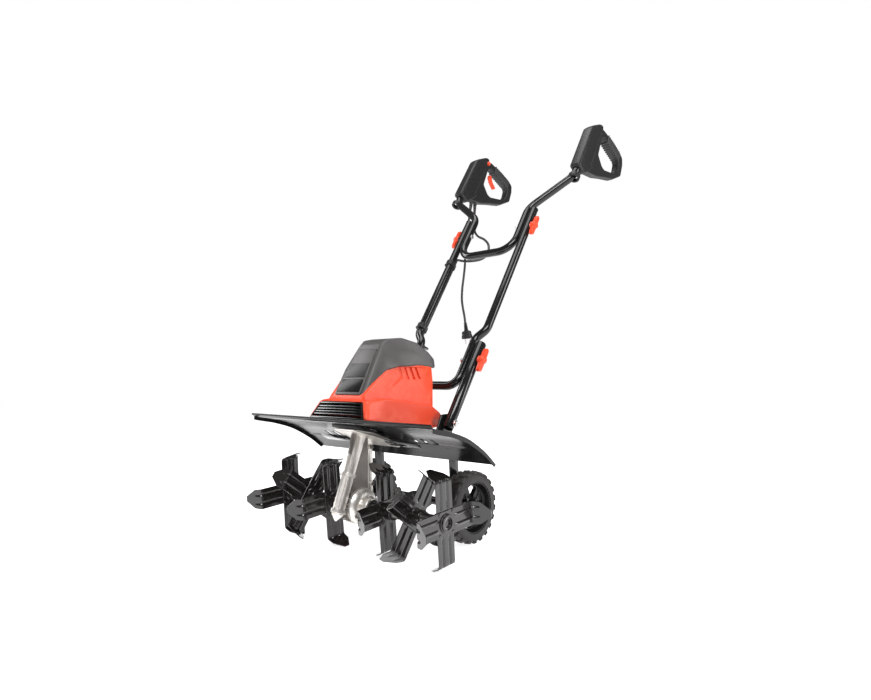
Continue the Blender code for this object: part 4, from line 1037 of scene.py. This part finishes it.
case_half("left", 1)
case_half("right", -1)
web = slab(web_outline, -0.0060, 0.0060)
soften(web, 0.0012, 2, 30)
hollow = rod(place(-0.02, 0, SHAFT_HEIGHT), place(0.02, 0, SHAFT_HEIGHT), 0.0300, steps=32)
carve(web, hollow)
# The web takes the darker casting finish, whose colour paints in the shade of its recess.
fit_out(web, "case_web", shaded_web_casting, "frame")
print("case halves made")

# %% Bolt bosses and bolts on the case, and the flange under the deck
bolt_spots = [(sign, y, z, reach) for sign in (1, -1) for y, z, reach in (
    (0.030, 0.222, 0.0125), (0.030, 0.142, 0.0135), (-0.027, 0.0840, 0.0215), (0.024, 0.0800, 0.0220))]
collars = [turned([(0.004, 0), (0.004, 0.0062), (reach - 0.0015, 0.0055), (reach, 0.0046), (reach, 0)],
                  place(0, y, z), LEFT * sign, 28) for sign, y, z, reach in bolt_spots]
weld_on(*collars)
fit_out(collars[0], "case_bosses", casting, "frame")
heads = []
for sign, y, z, reach in bolt_spots:
    head = turned([(0, 0), (0, 0.0042), (0.0030, 0.0042), (0.0038, 0.0034), (0.0038, 0)],
                  place(sign * reach, y, z), LEFT * sign, 28)
    carve(head, rod(place(sign * (reach + 0.0018), y, z), place(sign * (reach + 0.008), y, z), 0.0021,
                    steps=6))
    heads.append(head)
weld_on(*heads)
fit_out(heads[0], "case_bolts", dark_steel, "frame")
flange = wedge([(-0.0370, 0.2690, 0.030), (-0.0370, 0.2645, 0.030), (0.004, 0.2500, 0.052),
                (0.052, 0.2290, 0.062), (0.072, 0.2180, 0.058), (0.074, 0.2225, 0.058),
                (0.052, 0.2350, 0.062), (0.004, 0.2570, 0.052)])
soften(flange, 0.0016, 3)
fit_out(flange, "deck_flange", casting, "frame")
neck_plate = wedge([(-0.0365, 0.2790, 0.0375), (0.0525, 0.2480, 0.0375), (0.0525, 0.2445, 0.0375),
                    (-0.0365, 0.2700, 0.0375)])
soften(neck_plate, 0.0006, 2)
fit_out(neck_plate, "neck_plate", guard_paint, "frame")
for name, sign in (("left", 1), ("right", -1)):
    seal = turned([(0.0438, 0.0122), (0.0438, 0.0172), (0.0444, 0.0176), (0.0452, 0.0170),
                   (0.0452, 0.0122)], place(0, 0, SHAFT_HEIGHT), LEFT * sign, 44)
    fit_out(seal, "shaft_seal_" + name, soft_grip, "frame")
print("case details made")

# %% [markdown]
# ## The hood
# The motor sits in a red moulded shell: a tall narrow housing on a wide base
# that follows the slope of the deck. The corners of such a moulding are all
# rounded, and the side walls carry slanted slots that let the warm air out.

# %% The red shell
body = wedge([(-0.0240, 0.3370, 0.0480), (0.0300, 0.3920, 0.0640), (0.0620, 0.3985, 0.0700),
              (0.1300, 0.3985, 0.0715), (0.1750, 0.3930, 0.0705), (0.1720, 0.3600, 0.0760),
              (0.1650, 0.2960, 0.0800), (-0.0200, 0.3120, 0.0740), (-0.0360, 0.3230, 0.0600)])
soften(body, 0.0060, 4, 20)
base = wedge([(-0.0380, 0.3285, 0.0740), (0.0160, 0.3300, 0.0860), (0.1500, 0.3050, 0.0910),
              (0.1880, 0.2840, 0.0840), (0.1960, 0.2700, 0.0800), (0.1960, 0.2520, 0.0800),
              (0.0660, 0.2520, 0.0940), (0.0340, 0.2612, 0.0940), (-0.0140, 0.2787, 0.0950),
              (-0.0400, 0.2852, 0.0960), (-0.0575, 0.2907, 0.0955)])
soften(base, 0.0085, 4, 14)
carve(body, base, "UNION")
for sign in (1, -1):
    for i in range(4):
        y = 0.0660 + 0.0165 * i
        z = 0.3935 - 0.0008 * i
        slot = slab([(y, z), (y + 0.0072, z), (y + 0.0200, z - 0.0270), (y + 0.0128, z - 0.0270)],
                    sign * 0.0640, sign * 0.0900)
        soften(slot, 0.0016, 3)
        carve(body, slot)
mouth = wedge([(-0.0300, 0.3262, 0.0640), (-0.0200, 0.2900, 0.0800), (-0.0610, 0.2940, 0.0860),
               (-0.0470, 0.3262, 0.0680)])
soften(mouth, 0.0040, 3)
carve(body, mouth)
soften(body, 0.0008, 2, 50)
fit_out(body, "red_hood", red_shell, "frame", ["motor_housing"], 40)
ledge = wedge([(0.0200, 0.2625, 0.0955), (0.0670, 0.2530, 0.0955), (0.1950, 0.2530, 0.0815),
               (0.1950, 0.2560, 0.0815), (0.0670, 0.2565, 0.0955), (0.0200, 0.2660, 0.0955)])
soften(ledge, 0.0010, 2)
fit_out(ledge, "hood_foot", red_shell, "frame")
print("red shell made")

# %% The air intake: a black frame with slats and short ribs
FACE_TOP = (-0.0405, 0.3235)
FACE_FOOT = (-0.0560, 0.2925)


def on_face(t, proud=0.0):
    """A point on the sloping intake face, t of the way down: y, z and half width there."""
    length = math.hypot(FACE_FOOT[0] - FACE_TOP[0], FACE_FOOT[1] - FACE_TOP[1])
    down = ((FACE_FOOT[0] - FACE_TOP[0]) / length, (FACE_FOOT[1] - FACE_TOP[1]) / length)
    y = FACE_TOP[0] + down[0] * length * t + down[1] * proud
    z = FACE_TOP[1] + down[1] * length * t - down[0] * proud
    return y, z, 0.0660 + 0.0180 * t


def grille_bar(t0, t1, back, front, inset=0.0):
    corners = [on_face(t0, back), on_face(t0, front), on_face(t1, front), on_face(t1, back)]
    bar = wedge([(y, z, half - inset) for y, z, half in corners])
    soften(bar, 0.0006, 2)
    return bar


grille_parts = [grille_bar(0.0, 1.0, -0.0120, -0.0075), grille_bar(-0.02, 0.07, -0.008, 0.0018),
                grille_bar(0.94, 1.03, -0.008, 0.0018)]
for i in range(4):
    grille_parts.append(grille_bar(0.20 + 0.17 * i, 0.285 + 0.17 * i, -0.008, 0.0014, 0.001))
for i in range(7):
    x = -0.060 + 0.020 * i
    rib = [on_face(t, proud)[:2] for t, proud in ((0.05, -0.0030), (0.05, -0.0080), (0.96, -0.0080),
                                                  (0.96, -0.0030))]
    grille_parts.append(slab(rib, x - 0.0007, x + 0.0007))
for sign in (1, -1):
    top = on_face(0.0)
    foot = on_face(1.0)
    edge = wedge([(top[0] + 0.004, top[1], 0.0016), (top[0] - 0.002, top[1], 0.0016),
                  (foot[0] - 0.002, foot[1], 0.0016), (foot[0] + 0.004, foot[1], 0.0016)])
    for vertex in edge.data.vertices:
        share = (top[1] - vertex.co.z) / (top[1] - foot[1])
        vertex.co.x += sign * (0.0650 + 0.0180 * share)
    grille_parts.append(edge)
weld_on(*grille_parts)
fit_out(grille_parts[0], "air_intake", gloss_paint, "frame", ["front_grille"])
print("air intake made")

# %% [markdown]
# The grey cover caps the housing. Its long front face slopes up to a rounded
# crown, with a raised panel down the middle that holds a plain pad and a
# blank gloss band.

# %% The grey cover with its panel, pad and blank band
cover = wedge([(-0.0240, 0.3360, 0.0460), (0.0480, 0.4450, 0.0340), (0.0620, 0.4550, 0.0390),
               (0.1000, 0.4590, 0.0500), (0.1400, 0.4475, 0.0590), (0.1720, 0.4250, 0.0650),
               (0.1880, 0.4080, 0.0680), (0.1880, 0.3865, 0.0700), (0.1720, 0.3890, 0.0720),
               (0.1300, 0.3940, 0.0730), (0.0650, 0.3940, 0.0715), (0.0340, 0.3875, 0.0655)])
soften(cover, 0.0050, 3, 16)
fit_out(cover, "grey_cover", grey_hood, "frame", ["top_cover"], 40)
SLOPE_FOOT = (-0.0240, 0.3360)
SLOPE = Vector((0, 0.0720, 0.1090)).normalized()
SLOPE_OUT = Vector((0, -SLOPE.z, SLOPE.y))


def on_slope(t, out, half):
    """A corner on the cover's long front face: t up the slope, out from it, and half width."""
    return (SLOPE_FOOT[0] + SLOPE.y * t + SLOPE_OUT.y * out,
            SLOPE_FOOT[1] + SLOPE.z * t + SLOPE_OUT.z * out, half)


def slope_plate(t0, t1, half0, half1, inner, outer, corner, name, paint):
    plate = wedge([on_slope(t0, inner, half0), on_slope(t1, inner, half1),
                   on_slope(t1, outer, half1 - 0.001), on_slope(t0, outer, half0 - 0.001)])
    soften(plate, corner, 3, 28)
    fit_out(plate, name, paint, "frame")


slope_plate(0.003, 0.119, 0.0400, 0.0285, -0.0080, 0.0030, 0.0020, "cover_panel", grey_hood)
slope_plate(0.045, 0.080, 0.0335, 0.0300, -0.0020, 0.0042, 0.0010, "cover_pad", black_shell)
slope_plate(0.009, 0.040, 0.0365, 0.0335, -0.0020, 0.0040, 0.0009, "cover_band", black_band)
print("cover made")

# %% [markdown]
# ## The guard
# A wide sheet steel guard sits over the tines. It slopes down to the back,
# has turned-down sides and a rolled front edge, and is punched with slots.
# Two flat stays run from the gear case to its rear half.

# %% The guard sheet, its turned-down sides, slots and stays
guard_line = smooth_line([(0, -0.0770, 0.2945), (0, -0.0710, 0.2880), (0, -0.0420, 0.2805),
                          (0, -0.0140, 0.2735), (0, 0.0340, 0.2560), (0, 0.0790, 0.2300),
                          (0, 0.1040, 0.2115), (0, 0.1250, 0.1930)], 0.008)


def guard_half(y):
    """Half the guard's width, which narrows by 7 mm from its front edge to its back."""
    return 0.282 - 0.007 * (y + 0.077) / 0.202


upper = [(p.y, p.z, guard_half(p.y)) for p in guard_line]
lower = [(p.y - 0.0006, p.z - 0.0019, guard_half(p.y)) for p in reversed(guard_line)]
guard = wedge(upper + lower)
neck = wedge([(-0.036, 0.20, 0.036), (0.052, 0.20, 0.036), (0.052, 0.32, 0.036), (-0.036, 0.32, 0.036)])
carve(guard, neck)
for sign in (1, -1):
    for x in (0.112, 0.140, 0.168):
        slot = slab([(0.050, 0.18), (0.074, 0.18), (0.074, 0.30), (0.050, 0.30)],
                    sign * (x - 0.0045), sign * (x + 0.0045))
        soften(slot, 0.0040, 4)
        carve(guard, slot)
soften(guard, 0.0005, 1, 50)
flanges = []
for sign in (1, -1):
    side_line = upper[1:] + [(y, z - (0.002 if y > 0.12 else 0.0095), h)
                             for y, z, h in reversed(upper[1:])]
    flange_piece = slab([(y, z) for y, z, h in side_line], -0.0009, 0.0009)
    for vertex in flange_piece.data.vertices:
        vertex.co.x += sign * (guard_half(vertex.co.y + SHAFT_TO_MIDDLE) - 0.0010)
    flanges.append(flange_piece)
front_roll = rod(place(-0.281, -0.0758, 0.2925), place(0.281, -0.0758, 0.2925), 0.0024, 0.0008, 20)
weld_on(guard, front_roll, *flanges)
fit_out(guard, "tine_guard", guard_paint, "frame", ["fender"], 40)
for name, sign in (("left", 1), ("right", -1)):
    stay = slab([(0.020, 0.2440), (0.038, 0.2340), (0.0440, 0.2260), (0.0260, 0.2360)],
                sign * 0.060, sign * 0.150)
    soften(stay, 0.0015, 2)
    fit_out(stay, "guard_stay_" + name, gloss_paint, "frame")
print("guard made")

# %% [markdown]
# ## Grips
# Each upper tube ends in a closed loop grip. The hard shell is moulded in one
# with the sleeve round the tube, and the hand bar is covered with ribbed
# rubber. The right one holds the trigger and the lock button.

# %% A loop grip with its rubber hand bar
loop_outline = [(0.690, 0.9180), (0.757, 0.9175), (0.807, 0.925), (0.870, 0.932), (0.929, 0.954),
                (0.9455, 0.990), (0.948, 1.012), (0.940, 1.021), (0.890, 1.046), (0.832, 1.068),
                (0.800, 1.076), (0.760, 1.060)]
loop_hole = [(0.776, 0.985), (0.796, 0.956), (0.812, 0.949), (0.892, 0.953), (0.908, 0.968),
             (0.9185, 0.992), (0.912, 1.003), (0.862, 1.028), (0.822, 1.048), (0.806, 1.044)]
block_outline = [(0.642, 0.929), (0.735, 1.057), (0.758, 1.068), (0.796, 1.081), (0.812, 1.079),
                 (0.806, 1.050), (0.772, 0.990), (0.735, 0.938), (0.697, 0.9175), (0.674, 0.907)]


def loop_grip(name, x):
    shell = slab(block_outline, x - 0.0163, x + 0.0163)
    soften(shell, 0.0090, 5, 20)
    loop = slab(loop_outline, x - 0.0118, x + 0.0118)
    soften(loop, 0.0052, 4, 20)
    hole = slab(loop_hole, x - 0.03, x + 0.03)
    soften(hole, 0.0040, 3, 20)
    carve(loop, hole)
    soften(loop, 0.0032, 3, 60)
    carve(shell, loop, "UNION")
    bore = rod(on_handle(x, 0.730), on_handle(x, 0.924), 0.0112, steps=36)
    carve(shell, bore)
    soften(shell, 0.0016, 3, 42)
    collar = turned([(0.0, 0.0112), (0.0, 0.0150), (0.0015, 0.0165), (0.0110, 0.0165),
                     (0.0125, 0.0150), (0.0125, 0.0112)], on_handle(x, 0.777), ALONG, 44)
    rib = slab([(0.712, 0.9400), (0.792, 1.0560), (0.796, 1.0540), (0.716, 0.9375)],
               x - 0.0170, x + 0.0170)
    soften(rib, 0.0008, 2)
    weld_on(shell, collar, rib)
    fit_out(shell, "grip_shell_" + name, black_shell, "top_handle", ["grip_" + name], 38)
    cover = slab([(0.846, 1.0635), (0.890, 1.0470), (0.936, 1.0242), (0.9190, 0.9980), (0.9120, 1.0022),
                  (0.862, 1.0272), (0.840, 1.0385)], x - 0.0128, x + 0.0128)
    soften(cover, 0.0050, 4, 20)
    ribs = []
    for i in range(9):
        y = 0.8520 + 0.0085 * i
        z = 1.0618 - 0.0040 * i
        bead = slab([(y, z + 0.0008), (y + 0.0034, z - 0.0008), (y - 0.0090, z - 0.0270),
                     (y - 0.0124, z - 0.0254)], x - 0.0134, x + 0.0134)
        soften(bead, 0.0014, 2)
        ribs.append(bead)
    weld_on(cover, *ribs)
    fit_out(cover, "hand_bar_" + name, soft_grip, "top_handle")


loop_grip("left", GRIP_OUT)
loop_grip("right", -GRIP_OUT)
print("grips made")

# %% The trigger and the lock button, with the ring the button sits in
trigger = slab([(0.8245, 1.0290), (0.8310, 1.0235), (0.8330, 1.0100), (0.8380, 1.0020), (0.8500, 0.9880),
                (0.8440, 0.9830), (0.8320, 0.9970), (0.8255, 1.0060), (0.8200, 1.0200)],
               -0.2125, -0.1995)
soften(trigger, 0.0018, 3, 20)
fit_out(trigger, "red_trigger", red_shell, "trigger", ["switch_trigger"])
button = turned([(0, 0), (0, 0.0062), (0.0098, 0.0062), (0.0112, 0.0057), (0.0125, 0.0044),
                 (0.0133, 0.0022), (0.0133, 0)], place(-0.1947, 0.797, 1.0585), LEFT, 40)
fit_out(button, "red_button", red_shell, "button", ["lock_button"])
ring = turned([(0, 0.0070), (0, 0.0092), (0.0040, 0.0092), (0.0050, 0.0084), (0.0050, 0.0070)],
              place(-0.1930, 0.797, 1.0585), LEFT, 40)
fit_out(ring, "button_ring", black_shell, "top_handle")
print("controls made")

# %% [markdown]
# ## Inside the machine
# The motor, its fan and the worm gear keep their measured shapes, which are
# already right, and take finishes that suit wound copper, bronze and steel.

# %% Finishes for the inner pieces
inner_paints = {"worm": dark_steel, "worm_bearing": bright_steel, "motor_bearing": bright_steel,
                "shaft_bearing_left": bright_steel, "shaft_bearing_right": bright_steel,
                "armature": dark_steel, "worm_wheel": bronze, "cooling_fan": black_shell,
                "motor_stator": winding}
for node_name, paint in inner_paints.items():
    for slot in bpy.data.objects[node_name].material_slots:
        slot.material = paint
print("inner pieces finished")
